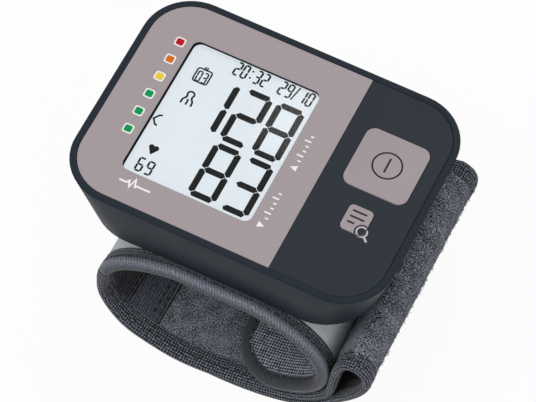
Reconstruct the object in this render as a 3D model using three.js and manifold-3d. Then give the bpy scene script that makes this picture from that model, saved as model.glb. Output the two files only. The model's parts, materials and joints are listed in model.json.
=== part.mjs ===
// Wrist blood pressure monitor: a display unit on a pre-shaped wrist cuff.
// Millimetres, +Z up. The face of the unit looks up, its long side runs along X and the wrist
// goes through the cuff along Y. Every piece is placed by its depth below the face, and the last
// lines move the whole device so that it stands on z = 0 with its box centred on the origin.

import * as THREE from 'three';
import { mergeVertices } from 'three/addons/utils/BufferGeometryUtils.js';
import Module from 'manifold-3d';

const wasm = await Module();
wasm.setup();

// Clearances shared by all pieces

const fit = 0.2; // between two rigid pieces that are put together
const slip = 0.15; // between thin layers, films and the lens
const running = 0.09; // between a shaft or plunger and the wall of its hole
const seatGap = 0.3; // between a piece and the one that carries it
const overrun = 0.5; // how far a cutting tool runs past the face that it cuts
const weldTolerance = 0.0001;

// Housing

const housingHalfLength = 42;
const housingHalfWidth = 31;
const cornerShare = 0.30952; // of the half length
const cornerGrowth = 2.4;
const endTaper = 4.2;
const sideTaper = 2.6;
const rimWidth = 1.8;
const rimBevel = 0.35;
const ledgeWidth = 1.3;
const ledgeThickness = 1.4;
const wall = 1.6;
const bodyDepth = 18.3;
const archRise = 2.9;
const baseThickness = 2;
const baseRecess = 0.2;
const ribThickness = 1;

// Screws and the bosses that take them

const screwShankRadius = 0.9;
const screwHeadRadius = 1.9;
const screwHeadHeight = 1;
const screwDriveRadius = 0.8;
const screwDriveDepth = 0.6;
const screwLength = 9;
const bossRadius = 2.6;
const bossCellGap = 0.35;
const leftScrewMargin = 7.6; // in from the long side of the housing
const rightScrewMargin = 10.4;
const rightScrewShare = 0.7381; // of the half length

// Face panel, label film, window and display

const panelThickness = 1.25;
const labelThickness = 0.25;
const labelRightShare = 0.35595; // of the half length, as the next two
const windowLeftShare = 0.68429;
const windowRightShare = 0.13048;
const windowTopShare = 0.6429; // of the half width, as the next one
const windowBottomShare = 0.6613;
const windowCorner = 2;
const lensThickness = 0.5;
const lensMargin = 0.9;
const displayThickness = 1.4;
const displayMargin = 1.6;
const displayStandoff = 1.5;
const holderWall = 1.2;
const holderLedge = 2.6;
const connectorWidth = 1.4;
const connectorEndMargin = 3;

// Keys and their switches: shares along X are of the half length, along Y of the half width

const startKeyXShare = 0.66548;
const startKeyYShare = 0.27742;
const startKeyWidthShare = 0.19952;
const startKeyHeightShare = 0.27645;
const startKeyCorner = 2.5;
const memoryKeyXShare = 0.6631;
const memoryKeyYShare = 0.25806;
const memoryKeyWidthShare = 0.075;
const memoryKeyHeightShare = 0.11613;
const memoryKeyCorner = 1.2;
const keyProud = 0.15;
const keyFlangeWidth = 0.8;
const keyFlangeThickness = 0.5;
const keyStemRadius = 1.9;
const keyTravel = 0.45;
const switchHalfWidth = 3;
const switchHeight = 1;
const switchPlungerRadius = 1.6;
const switchPocketDepth = 0.7;

// Circuit board and what is on it

const boardLeftMargin = 7;
const boardRightMargin = 5;
const boardSideMargin = 5;
const boardCorner = 8;
const boardThickness = 0.8;
const chipXShare = 0.14286;
const chipYShare = 0.34194;
const chipHalfWidth = 4.5;
const chipThickness = 1.4;
const sensorXShare = 0.57143;
const sensorYShare = 0.06452;
const sensorHalfWidth = 3.5;
const sensorHeight = 3.4;

// Battery cells, contacts and door

const cellRadius = 5.25;
const cellEndMargin = 8.75; // from the end of a cell to the long side of the housing
const cellNubRadius = 1.9;
const cellNubHeight = 0.8;
const cellSpacing = 11.2;
const firstCellShare = 0.65714; // of the half length
const contactThickness = 0.4;
const contactHalfWidth = 3.4;
const springRoom = 2.8;
const springWire = 0.3;
const springEndRadius = 2.9;
const springTipRadius = 1.7;
const springTurns = 3.5;
const doorSideMargin = 6.7;
const doorTop = 4.5;
const doorCellGap = 0.95;
const latchHalfWidth = 4;
const latchLength = 2.6;
const latchThickness = 1.1;
const gripRadius = 5;
const gripDepth = 0.5;

// Air pump, release valve, manifold and tubes

const pumpYShare = 0.75; // of the half width
const pumpYInset = 3.65;
const pumpDepth = 10.9;
const pumpBossGapShare = 0.05238; // of the half length, as the next two
const pumpHeadShare = 0.2619;
const motorBossGapShare = 0.11905;
const pumpHeadHalfHeight = 5.1;
const motorRadius = 4.7;
const sleeveThickness = 0.4;
const sleeveMargin = 2;
const rotorShaftRadius = 0.75;
const rotorShaftShare = 0.5128; // of the motor's length
const eccentricRadius = 2.2;
const eccentricOffset = 0.8;
const eccentricThickness = 2.5;
const headCavityRadius = 3.8;
const headCavityDepth = 5;
const pumpPortMargin = 3.8;
const portRadius = 0.8;
const portLength = 2.4;
const valveXShare = 0.42857;
const valveYShare = 0.62581;
const valveDepth = 11.2;
const valveCoilRadius = 3.7;
const valveCoilLength = 8;
const valveFrameHalf = 4.1;
const valveFrameThickness = 0.8;
const valvePlungerRadius = 1.25;
const valvePlungerHeadRadius = 2.2;
const valvePlungerHeadLength = 0.9;
const valveStroke = 0.8;
const manifoldShare = 0.12903; // half its width, of the housing's half width
const manifoldHalfHeight = 1.7;
const manifoldDepth = 12.2;
const tubeWall = 0.6;
const tubeBendShare = 0.45;
const nozzleRadius = 1.9;
const nozzleBoreRadius = 0.9;
const nozzleCollarRadius = 3.3;
const nozzleCollarThickness = 0.7;
const sealThickness = 0.5;

// Cuff: a padded band wound as a spiral that grows outwards, seen along Y

const cuffHalfWidth = 32.7;
const cuffShiftY = 0.5;
const ringCentreX = 2.6;
const ringCentreDepth = 38.2;
const ringHalfWidth = 32.05;
const ringHalfHeight = 21.1;
const ringPitch = 3.3;
const ringPower = 2.1;
const tongueTipTurn = -0.236;
const jointTurn = 0.5;
const tongueCorner = 15;
const bindingWidth = 1.2;
const coverThickness = 0.6;
const stiffenerThickness = 0.35;
const bladderThickness = 0.5;
const liningThickness = 0.5;
const bladderMargin = 5.7; // in from the edge of the cuff
const hookThickness = 0.8;
const hookStart = 5;
const hookLength = 22;
const hookMargin = 9.7;

// Strap: the outer winding of the same band and its end, folded back on itself

const strapCoverThickness = 0.7;
const strapPadThickness = 0.9;
const padSeamTurn = 0.665;
const strapLeaveTurn = 0.957;
const strapReturnTurn = 0.937;
const strapTailTurn = 0.652;
const foldRiseOut = 2.05; // places of the fold: out from the ring's side, up from its middle
const foldRiseUp = 7.7;
const foldTopOut = 4.25;
const foldTopUp = 11.2;
const foldShoulderOut = 6.85;
const foldShoulderUp = 10.3;
const foldBulgeOut = 7.85;
const foldBulgeUp = 6.6;
const foldBackOut = 6.55;
const foldBackUp = 1.9;
const foldCloseOut = 3.85;
const foldCloseDown = 3;
const tailCorner = 10;
const footFlat = 0.5;
const mountPlateHalfLength = 11;
const mountPlateShare = 0.58065; // of the housing's half width
const mountPlateThickness = 0.8;
const mountPocketDepth = 0.6;
const mountPlateCorner = 4;

// Fineness of the curved surfaces

const arcSteps = 6;
const archSteps = 12;
const smallArcSteps = 3;
const roundSteps = 18;
const smallRoundSteps = 12;
const stationLength = 3;
const foldSteps = 24;
const tubeSides = 6;
const tubeSteps = 10;
const springStepsPerTurn = 8;
const springSides = 5;

// Places that follow from the size of the housing and of the ring

const cornerRadius = cornerShare * housingHalfLength;
const labelRight = labelRightShare * housingHalfLength;
const windowLeft = -windowLeftShare * housingHalfLength;
const windowRight = windowRightShare * housingHalfLength;
const windowTop = windowTopShare * housingHalfWidth;
const windowBottom = -windowBottomShare * housingHalfWidth;
const startKeyX = startKeyXShare * housingHalfLength;
const startKeyY = startKeyYShare * housingHalfWidth;
const startKeyHalfWidth = startKeyWidthShare * housingHalfLength;
const startKeyHalfHeight = startKeyHeightShare * housingHalfWidth;
const memoryKeyX = memoryKeyXShare * housingHalfLength;
const memoryKeyY = -memoryKeyYShare * housingHalfWidth;
const memoryKeyHalfWidth = memoryKeyWidthShare * housingHalfLength;
const memoryKeyHalfHeight = memoryKeyHeightShare * housingHalfWidth;
const boardLeft = boardLeftMargin - housingHalfLength;
const boardRight = housingHalfLength - boardRightMargin;
const boardHalfWidth = housingHalfWidth - boardSideMargin;
const chipX = chipXShare * housingHalfLength;
const chipY = chipYShare * housingHalfWidth;
const sensorX = sensorXShare * housingHalfLength;
const sensorY = sensorYShare * housingHalfWidth;
const cellLength = 2 * (housingHalfWidth - cellEndMargin);
const firstCellX = -firstCellShare * housingHalfLength;
const doorHalfWidth = housingHalfWidth - doorSideMargin;
const doorInnerX = firstCellX - cellRadius - doorCellGap;
const leftScrewX = firstCellX + cellSpacing + cellRadius + bossCellGap + bossRadius;
const leftScrewY = housingHalfWidth - leftScrewMargin;
const rightScrewX = rightScrewShare * housingHalfLength;
const rightScrewY = housingHalfWidth - rightScrewMargin;
const pumpY = pumpYInset - pumpYShare * housingHalfWidth;
const pumpHeadLeft = leftScrewX + bossRadius + pumpBossGapShare * housingHalfLength;
const pumpHeadLength = pumpHeadShare * housingHalfLength;
const pumpPortX = pumpHeadLeft + pumpPortMargin;
const motorLeft = pumpHeadLeft + pumpHeadLength + fit;
const motorRight = rightScrewX - bossRadius - motorBossGapShare * housingHalfLength;
const rotorShaftInMotor = rotorShaftShare * (motorRight - motorLeft);
const valveX = valveXShare * housingHalfLength;
const valveY = valveYShare * housingHalfWidth;
const manifoldX = ringCentreX;
const manifoldHalfWidth = manifoldShare * housingHalfWidth;
const mountPlateHalfWidth = mountPlateShare * housingHalfWidth;
const bladderHalfWidth = cuffHalfWidth - bladderMargin;
const hookHalfWidth = cuffHalfWidth - hookMargin;
const ringSideX = ringCentreX + ringHalfWidth;

// Depths that follow from the sizes above

const panelTop = slip;
const panelBottom = panelTop + panelThickness;
const lensTop = panelBottom - lensThickness;
const displayTop = panelBottom + slip;
const displayBottom = displayTop + displayThickness;
const boardTop = displayBottom + displayStandoff;
const boardBottom = boardTop + boardThickness;
const wallDepth = bodyDepth + archRise;
const padTop = bodyDepth - baseThickness;
const cellDepth = padTop - seatGap - cellRadius;
const plateTop = bodyDepth - mountPocketDepth + slip;
const plateBottom = plateTop + mountPlateThickness;
const ringTop = plateBottom + seatGap;
const bossTop = boardBottom + seatGap;
const sensorPortDepth = boardBottom + slip + sensorHeight / 2;

// Materials

const look = (color, roughness, metalness = 0) =>
  new THREE.MeshStandardMaterial({ color, roughness, metalness });

const looks = {
  casing: look('#31373c', 0.55),
  panel: look('#3c4347', 0.5),
  label: look('#a3989b', 0.6),
  lens: look('#eef3f5', 0.08),
  display: look('#e6ebee', 0.3),
  holder: look('#f0f0ec', 0.6),
  conductiveRubber: look('#c98a6b', 0.7),
  key: look('#a3989b', 0.55),
  switchBody: look('#1c1c1e', 0.5),
  switchPlunger: look('#d8d2c4', 0.5),
  board: look('#1f5a3a', 0.5),
  chip: look('#17181a', 0.5),
  sensor: look('#dcdad2', 0.5),
  steel: look('#b9bcc0', 0.35, 1),
  cell: look('#3a5f8a', 0.4),
  valveCoil: look('#8c3b24', 0.45),
  pumpPlastic: look('#e3e1da', 0.55),
  rubber: look('#2a2b2d', 0.8),
  tube: look('#d9dcdc', 0.45),
  seal: look('#8a8d90', 0.7),
  cuffCloth: look('#565b66', 0.95),
  strapLoop: look('#5d6370', 1),
  binding: look('#4a4f5a', 0.95),
  hook: look('#3f4248', 0.9),
  stiffener: look('#c9ccd0', 0.5),
  bladder: look('#9ea3a8', 0.5),
};

// Turning three.js geometry into solids and back

function solid(geometry) {
  const bare = new THREE.BufferGeometry();
  bare.setAttribute('position', geometry.getAttribute('position'));
  if (geometry.index) bare.setIndex(geometry.index);
  const welded = mergeVertices(bare, weldTolerance);
  const vertProperties = new Float32Array(welded.getAttribute('position').array);
  const triVerts = new Uint32Array(welded.index.array);
  return new wasm.Manifold(new wasm.Mesh({ numProp: 3, vertProperties, triVerts }));
}

function geometryOf(body) {
  const { numProp, vertProperties, triVerts } = body.getMesh();
  const geometry = new THREE.BufferGeometry();
  const points = new Float32Array((vertProperties.length / numProp) * 3);
  for (let i = 0; i < points.length / 3; i += 1) {
    points.set(vertProperties.subarray(i * numProp, i * numProp + 3), i * 3);
  }
  geometry.setAttribute('position', new THREE.BufferAttribute(points, 3));
  geometry.setIndex(new THREE.BufferAttribute(new Uint32Array(triVerts), 1));
  geometry.computeVertexNormals();
  return geometry;
}

const device = new THREE.Group();

function addPiece(name, body, material) {
  const geometry = body.isBufferGeometry ? body : geometryOf(body);
  const mesh = new THREE.Mesh(geometry, material);
  mesh.name = name;
  device.add(mesh);
  return mesh;
}

// Plain shapes, placed by their depth below the face

function roundedRectangle(x, y, halfWidth, halfHeight, corner) {
  const shape = new THREE.Shape();
  const right = x + halfWidth - corner;
  const left = x - halfWidth + corner;
  const top = y + halfHeight - corner;
  const bottom = y - halfHeight + corner;
  const quarter = Math.PI / 2;
  shape.absarc(right, top, corner, 0, quarter);
  shape.absarc(left, top, corner, quarter, 2 * quarter);
  shape.absarc(left, bottom, corner, 2 * quarter, 3 * quarter);
  shape.absarc(right, bottom, corner, 3 * quarter, 4 * quarter);
  return shape;
}

function rectangleBetween(left, right, bottom, top, corner) {
  const x = (left + right) / 2;
  const y = (bottom + top) / 2;
  return roundedRectangle(x, y, (right - left) / 2, (top - bottom) / 2, corner);
}

function slab(shape, top, bottom, curveSegments = arcSteps) {
  const options = { depth: bottom - top, bevelEnabled: false, curveSegments };
  const geometry = new THREE.ExtrudeGeometry(shape, options);
  geometry.translate(0, 0, -bottom);
  return solid(geometry);
}

function block(left, right, near, far, top, bottom) {
  const geometry = new THREE.BoxGeometry(right - left, far - near, bottom - top);
  geometry.translate((left + right) / 2, (near + far) / 2, -(top + bottom) / 2);
  return solid(geometry);
}

function post(x, y, radius, top, bottom, steps = smallRoundSteps) {
  const geometry = new THREE.CylinderGeometry(radius, radius, bottom - top, steps);
  geometry.rotateX(Math.PI / 2);
  geometry.translate(x, y, -(top + bottom) / 2);
  return solid(geometry);
}

function rodAlongX(left, right, y, depth, radius, steps = smallRoundSteps) {
  const geometry = new THREE.CylinderGeometry(radius, radius, right - left, steps);
  geometry.rotateZ(Math.PI / 2);
  geometry.translate((left + right) / 2, y, -depth);
  return solid(geometry);
}

function rodAlongY(x, near, far, depth, radius, steps = roundSteps) {
  const geometry = new THREE.CylinderGeometry(radius, radius, far - near, steps);
  geometry.translate(x, (near + far) / 2, -depth);
  return solid(geometry);
}

// A closed skin over loops of points that all have the same number of points

function skinGeometry(loops) {
  const count = loops[0].length;
  const positions = loops.flat().flatMap((point) => [point.x, point.y, point.z]);
  const faces = [];
  for (let row = 0; row + 1 < loops.length; row += 1) {
    for (let k = 0; k < count; k += 1) {
      const a = row * count + k;
      const b = row * count + ((k + 1) % count);
      faces.push(a, b, b + count, a, b + count, a + count);
    }
  }
  const last = (loops.length - 1) * count;
  for (let k = 1; k + 1 < count; k += 1) {
    faces.push(0, k + 1, k);
    faces.push(last, last + k, last + k + 1);
  }
  const geometry = new THREE.BufferGeometry();
  geometry.setAttribute('position', new THREE.Float32BufferAttribute(positions, 3));
  geometry.setIndex(faces);
  return geometry;
}

// Housing outline at a depth, moved inwards by an inset

function housingSize(depth) {
  const along = Math.min(depth / wallDepth, 1);
  return {
    halfLength: housingHalfLength - endTaper * along,
    halfWidth: housingHalfWidth - sideTaper * along,
    corner: cornerRadius + cornerGrowth * along,
  };
}

function housingLoop(depth, inset) {
  const size = housingSize(depth);
  const shape = roundedRectangle(
    0,
    0,
    size.halfLength - inset,
    size.halfWidth - inset,
    size.corner - inset,
  );
  const points = shape.getPoints(arcSteps);
  const closed = points[0].distanceTo(points[points.length - 1]) < weldTolerance;
  const outline = closed ? points.slice(1) : points;
  return outline.map((point) => new THREE.Vector3(point.x, point.y, -depth));
}

function housingLoft(sections) {
  const deepestFirst = [...sections].sort((a, b) => b.depth - a.depth);
  return solid(skinGeometry(deepestFirst.map(({ depth, inset }) => housingLoop(depth, inset))));
}

// What lies under the arched bottom: the underside rises from both ends to the middle

function underArch(lift) {
  const reach = housingHalfLength + overrun;
  const floor = wallDepth + wall;
  const profile = new THREE.Shape();
  profile.moveTo(reach, -floor);
  for (let k = 0; k <= archSteps; k += 1) {
    const x = reach - (2 * reach * k) / archSteps;
    const depth = bodyDepth + archRise * (x / housingHalfLength) ** 2 - lift;
    profile.lineTo(x, -depth);
  }
  profile.lineTo(-reach, -floor);
  const options = { depth: 2 * (housingHalfWidth + overrun), bevelEnabled: false };
  const geometry = new THREE.ExtrudeGeometry(profile, options);
  geometry.translate(0, 0, -housingHalfWidth - overrun);
  geometry.rotateX(Math.PI / 2);
  return solid(geometry);
}

const screwPlaces = [
  { x: leftScrewX, y: -leftScrewY },
  { x: leftScrewX, y: leftScrewY },
  { x: rightScrewX, y: -rightScrewY },
  { x: rightScrewX, y: rightScrewY },
];

const screwHeadTop = bodyDepth - baseRecess - slip - screwHeadHeight;

// Housing shell with its rim, ledge and screw bosses, and the battery door cut out of its left end

const ledgeTop = panelBottom + slip;
const ledgeBottom = ledgeTop + ledgeThickness;

function shellBody() {
  const outside = housingLoft([
    { depth: 0, inset: rimBevel },
    { depth: rimBevel, inset: 0 },
    { depth: wallDepth, inset: 0 },
  ]);
  const cavity = housingLoft([
    { depth: ledgeBottom, inset: wall },
    { depth: wallDepth, inset: wall },
    { depth: wallDepth + overrun, inset: wall },
  ]);
  const panelSeat = roundedRectangle(
    0,
    0,
    housingHalfLength - rimWidth,
    housingHalfWidth - rimWidth,
    cornerRadius - rimWidth,
  );
  const throat = roundedRectangle(
    0,
    0,
    housingHalfLength - rimWidth - ledgeWidth,
    housingHalfWidth - rimWidth - ledgeWidth,
    cornerRadius - rimWidth - ledgeWidth,
  );
  let bosses = null;
  for (const place of screwPlaces) {
    const bossBottom = padTop - seatGap;
    const boss = post(place.x, place.y, bossRadius, bossTop, bossBottom);
    const web = block(
      place.x - ribThickness / 2,
      place.x + ribThickness / 2,
      Math.min(place.y, Math.sign(place.y) * housingHalfWidth),
      Math.max(place.y, Math.sign(place.y) * housingHalfWidth),
      bossTop,
      bossBottom,
    );
    bosses = bosses ? bosses.add(boss).add(web) : boss.add(web);
  }
  let body = outside.subtract(cavity);
  body = body.subtract(slab(panelSeat, -overrun, ledgeTop));
  body = body.subtract(slab(throat, -overrun, ledgeBottom + overrun));
  body = body.add(bosses.intersect(outside));
  for (const place of screwPlaces) {
    const bore = screwShankRadius + slip;
    body = body.subtract(post(place.x, place.y, bore, bossTop + wall, wallDepth + overrun));
  }
  return body.subtract(underArch(0));
}

const doorLeft = -housingHalfLength - overrun;
const doorGap = fit;

function buildShellAndDoor() {
  const shell = shellBody();
  const doorCut = block(
    doorLeft,
    doorInnerX + doorGap,
    -doorHalfWidth - doorGap,
    doorHalfWidth + doorGap,
    doorTop - doorGap,
    wallDepth + overrun,
  );
  const doorZone = block(
    doorLeft,
    doorInnerX,
    -doorHalfWidth,
    doorHalfWidth,
    doorTop,
    wallDepth + overrun,
  );
  const doorSize = housingSize(doorTop);
  const latchLeft = -doorSize.halfLength + wall / 2;
  const latch = block(
    latchLeft,
    latchLeft + wall + latchLength,
    -latchHalfWidth,
    latchHalfWidth,
    doorTop + latchThickness,
    doorTop + 2 * latchThickness,
  );
  const gripSize = housingSize(wallDepth / 2);
  const gripX = -gripSize.halfLength - gripRadius + gripDepth;
  const grip = rodAlongY(gripX, -gripRadius, gripRadius, wallDepth / 2, gripRadius);
  const door = shell.intersect(doorZone).add(latch).subtract(grip);
  addPiece('housing_shell', shell.subtract(doorCut), looks.casing);
  addPiece('battery_door', door, looks.casing);
}

// Base cover with its pad, battery bay rib, pump saddles and screw wells

const bayRibX = firstCellX + cellSpacing + cellRadius + seatGap;
const sleeveLeft = motorLeft + sleeveMargin;
const sleeveRight = motorRight - sleeveMargin;
const sleeveRadius = motorRadius + slip + sleeveThickness;

function pumpSaddle(x) {
  const halfSpan = sleeveRadius + ribThickness;
  const rib = block(
    x,
    x + ribThickness,
    pumpY - halfSpan,
    pumpY + halfSpan,
    pumpDepth,
    padTop + overrun,
  );
  const cradle = rodAlongX(
    x - overrun,
    x + ribThickness + overrun,
    pumpY,
    pumpDepth,
    sleeveRadius + seatGap,
  );
  return rib.subtract(cradle);
}

function buildBaseCover() {
  let body = housingLoft([
    { depth: padTop, inset: wall + fit },
    { depth: wallDepth, inset: wall + fit },
  ]);
  body = body.subtract(underArch(baseRecess));
  const ribHalf = leftScrewY - bossRadius - ribThickness;
  body = body.add(
    block(bayRibX, bayRibX + ribThickness, -ribHalf, ribHalf, bossTop, padTop + overrun),
  );
  body = body.add(pumpSaddle(sleeveLeft));
  body = body.add(pumpSaddle(sleeveRight - ribThickness));
  for (const place of screwPlaces) {
    const hole = screwShankRadius + fit;
    const well = screwHeadRadius + fit;
    body = body.subtract(post(place.x, place.y, hole, padTop - overrun, bodyDepth));
    body = body.subtract(post(place.x, place.y, well, screwHeadTop - slip, wallDepth));
  }
  body = body.subtract(
    post(manifoldX, 0, nozzleRadius + seatGap, padTop - overrun, bodyDepth + overrun),
  );
  const pocket = roundedRectangle(
    ringCentreX,
    0,
    mountPlateHalfLength + fit,
    mountPlateHalfWidth + fit,
    mountPlateCorner,
  );
  body = body.subtract(
    slab(pocket, bodyDepth - mountPocketDepth, bodyDepth + overrun, smallArcSteps),
  );
  addPiece('base_cover', body, looks.casing);
}

function buildScrews() {
  screwPlaces.forEach((place, index) => {
    const head = post(
      place.x,
      place.y,
      screwHeadRadius,
      screwHeadTop,
      screwHeadTop + screwHeadHeight,
    );
    const shank = post(
      place.x,
      place.y,
      screwShankRadius,
      screwHeadTop + screwHeadHeight / 2 - screwLength,
      screwHeadTop + screwHeadHeight / 2,
    );
    const drive = post(
      place.x,
      place.y,
      screwDriveRadius,
      screwHeadTop + screwHeadHeight - screwDriveDepth,
      screwHeadTop + screwHeadHeight + overrun,
      arcSteps,
    );
    addPiece(`housing_screw_${index + 1}`, head.add(shank).subtract(drive), looks.steel);
  });
}

// Face: dark panel, label film around the window, lens, display and its holder

const windowX = (windowLeft + windowRight) / 2;
const windowY = (windowTop + windowBottom) / 2;
const windowHalfWidth = (windowRight - windowLeft) / 2;
const windowHalfHeight = (windowTop - windowBottom) / 2;

function windowShape(margin) {
  return roundedRectangle(
    windowX,
    windowY,
    windowHalfWidth + margin,
    windowHalfHeight + margin,
    windowCorner,
  );
}

function faceShape(inset) {
  return roundedRectangle(
    0,
    0,
    housingHalfLength - rimWidth - inset,
    housingHalfWidth - rimWidth - inset,
    cornerRadius - rimWidth - inset,
  );
}

function startKeyShape(margin) {
  return roundedRectangle(
    startKeyX,
    startKeyY,
    startKeyHalfWidth + margin,
    startKeyHalfHeight + margin,
    startKeyCorner + margin,
  );
}

function memoryKeyShape(margin) {
  return roundedRectangle(
    memoryKeyX,
    memoryKeyY,
    memoryKeyHalfWidth + margin,
    memoryKeyHalfHeight + margin,
    memoryKeyCorner + margin,
  );
}

function labelZone(right, top, bottom) {
  return block(-housingHalfLength, right, -housingHalfWidth, housingHalfWidth, top, bottom);
}

function buildFace() {
  const filmBottom = panelTop + labelThickness;
  let panel = slab(faceShape(slip), panelTop, panelBottom);
  panel = panel.subtract(labelZone(labelRight, panelTop - overrun, filmBottom + slip));
  panel = panel.subtract(slab(windowShape(0), -overrun, panelBottom + overrun, smallArcSteps));
  panel = panel.subtract(
    slab(windowShape(lensMargin + slip), lensTop - slip, panelBottom + overrun, smallArcSteps),
  );
  panel = panel.subtract(slab(startKeyShape(fit), -overrun, panelBottom + overrun, smallArcSteps));
  panel = panel.subtract(slab(memoryKeyShape(fit), -overrun, panelBottom + overrun, smallArcSteps));
  addPiece('face_panel', panel, looks.panel);

  let film = slab(faceShape(slip), panelTop, filmBottom);
  film = film.intersect(labelZone(labelRight - slip, panelTop - overrun, filmBottom + overrun));
  film = film.subtract(slab(windowShape(0), -overrun, filmBottom + overrun, smallArcSteps));
  addPiece('face_label', film, looks.label);

  const lens = slab(windowShape(lensMargin), lensTop, panelBottom, smallArcSteps);
  addPiece('display_window', lens, looks.lens);
  const cell = slab(windowShape(displayMargin), displayTop, displayBottom, smallArcSteps);
  addPiece('lcd_panel', cell, looks.display);
}

function buildDisplayHolder() {
  const outer = displayMargin + fit + holderWall;
  let holder = slab(windowShape(outer), displayTop, boardTop - slip, smallArcSteps);
  const seat = slab(
    windowShape(displayMargin + fit),
    displayTop - overrun,
    displayBottom + slip,
    smallArcSteps,
  );
  const opening = slab(
    windowShape(displayMargin - holderLedge),
    displayTop - overrun,
    boardTop + overrun,
    smallArcSteps,
  );
  holder = holder.subtract(seat).subtract(opening);
  addPiece('lcd_holder', holder, looks.holder);
}

function buildConnectors() {
  const edge = windowHalfHeight + displayMargin - holderLedge - fit;
  const halfLength = windowHalfWidth + displayMargin - holderLedge - connectorEndMargin;
  const left = windowX - halfLength;
  const right = windowX + halfLength;
  const top = displayBottom + slip;
  const bottom = boardTop - slip;
  const upperFar = windowY + edge;
  const lowerNear = windowY - edge;
  addPiece(
    'lcd_connector_upper',
    block(left, right, upperFar - connectorWidth, upperFar, top, bottom),
    looks.conductiveRubber,
  );
  addPiece(
    'lcd_connector_lower',
    block(left, right, lowerNear, lowerNear + connectorWidth, top, bottom),
    looks.conductiveRubber,
  );
}

// Keys: a cap through the panel, a flange that stops it from falling out, and a stem

const keyTop = panelTop - keyProud;
const flangeTop = panelBottom + seatGap;
const flangeBottom = flangeTop + keyFlangeThickness;
const switchTop = boardTop - switchHeight;
const switchBottom = boardTop - slip / 2;
const stemBottom = switchTop - keyTravel - fit;
const plungerTop = stemBottom + slip / 2;
const plungerBottom = switchTop + fit;

function keyBody(shapeOf, x, y) {
  const cap = slab(shapeOf(0), keyTop, flangeBottom, smallArcSteps);
  const flange = slab(shapeOf(keyFlangeWidth), flangeTop, flangeBottom, smallArcSteps);
  const stem = post(x, y, keyStemRadius, flangeTop, stemBottom);
  return cap.add(flange).add(stem);
}

function buildKey(label, shapeOf, x, y, material) {
  addPiece(`${label}_button`, keyBody(shapeOf, x, y), material);
  const body = block(
    x - switchHalfWidth,
    x + switchHalfWidth,
    y - switchHalfWidth,
    y + switchHalfWidth,
    switchTop,
    switchBottom,
  );
  const pocket = post(
    x,
    y,
    switchPlungerRadius + fit,
    switchTop - overrun,
    switchTop + switchPocketDepth,
  );
  addPiece(`${label}_switch`, body.subtract(pocket), looks.switchBody);
  addPiece(
    `${label}_plunger`,
    post(x, y, switchPlungerRadius, plungerTop, plungerBottom),
    looks.switchPlunger,
  );
}

// Circuit board, control chip and pressure sensor with its port towards the manifold

function buildBoard() {
  const outline = rectangleBetween(
    boardLeft,
    boardRight,
    -boardHalfWidth,
    boardHalfWidth,
    boardCorner,
  );
  addPiece('main_circuit_board', slab(outline, boardTop, boardBottom, smallArcSteps), looks.board);
  const chipTop = boardBottom + slip;
  addPiece(
    'control_chip',
    block(
      chipX - chipHalfWidth,
      chipX + chipHalfWidth,
      chipY - chipHalfWidth,
      chipY + chipHalfWidth,
      chipTop,
      chipTop + chipThickness,
    ),
    looks.chip,
  );
  const sensorBottom = chipTop + sensorHeight;
  const can = block(
    sensorX - sensorHalfWidth,
    sensorX + sensorHalfWidth,
    sensorY - sensorHalfWidth,
    sensorY + sensorHalfWidth,
    chipTop,
    sensorBottom,
  );
  const port = rodAlongX(
    sensorX - sensorHalfWidth - portLength,
    sensorX,
    sensorY,
    sensorPortDepth,
    portRadius,
  );
  addPiece('pressure_sensor', can.add(port), looks.sensor);
}

// Battery cells side by side, turned head to tail, with a bridge plate and two springs

const cellHalf = cellLength / 2;
const contactStart = cellHalf + springRoom;

function cellBody(x, side) {
  const shoulder = cellHalf - cellNubHeight;
  const near = side > 0 ? -cellHalf : -shoulder;
  const far = side > 0 ? shoulder : cellHalf;
  const can = rodAlongY(x, near, far, cellDepth, cellRadius);
  const nubNear = side > 0 ? shoulder - overrun : -cellHalf;
  const nubFar = side > 0 ? cellHalf : -shoulder + overrun;
  return can.add(rodAlongY(x, nubNear, nubFar, cellDepth, cellNubRadius));
}

function springGeometry(x, side) {
  const steps = Math.round(springTurns * springStepsPerTurn);
  const start = cellHalf + fit + springWire;
  const end = contactStart - fit - springWire;
  const loops = [];
  for (let k = 0; k <= steps; k += 1) {
    const share = k / steps;
    const angle = 2 * Math.PI * springTurns * share;
    const radius = springTipRadius + (springEndRadius - springTipRadius) * share;
    const y = side * (start + (end - start) * share);
    const loop = [];
    for (let s = 0; s < springSides; s += 1) {
      const turn = (2 * Math.PI * s) / springSides;
      const reach = radius + springWire * Math.cos(turn);
      loop.push(
        new THREE.Vector3(
          x + reach * Math.cos(angle),
          y + springWire * Math.sin(turn),
          reach * Math.sin(angle) - cellDepth,
        ),
      );
    }
    loops.push(loop);
  }
  return skinGeometry(loops);
}

function contactPlate(left, right, side) {
  const near = side > 0 ? contactStart : -contactStart - contactThickness;
  return block(
    left,
    right,
    near,
    near + contactThickness,
    cellDepth - contactHalfWidth,
    cellDepth + contactHalfWidth,
  );
}

function contactDome(x, side) {
  const inner = cellHalf + fit;
  const outer = contactStart + contactThickness / 2;
  const near = side > 0 ? inner : -outer;
  const far = side > 0 ? outer : -inner;
  return rodAlongY(x, near, far, cellDepth, cellNubRadius, smallRoundSteps);
}

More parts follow.
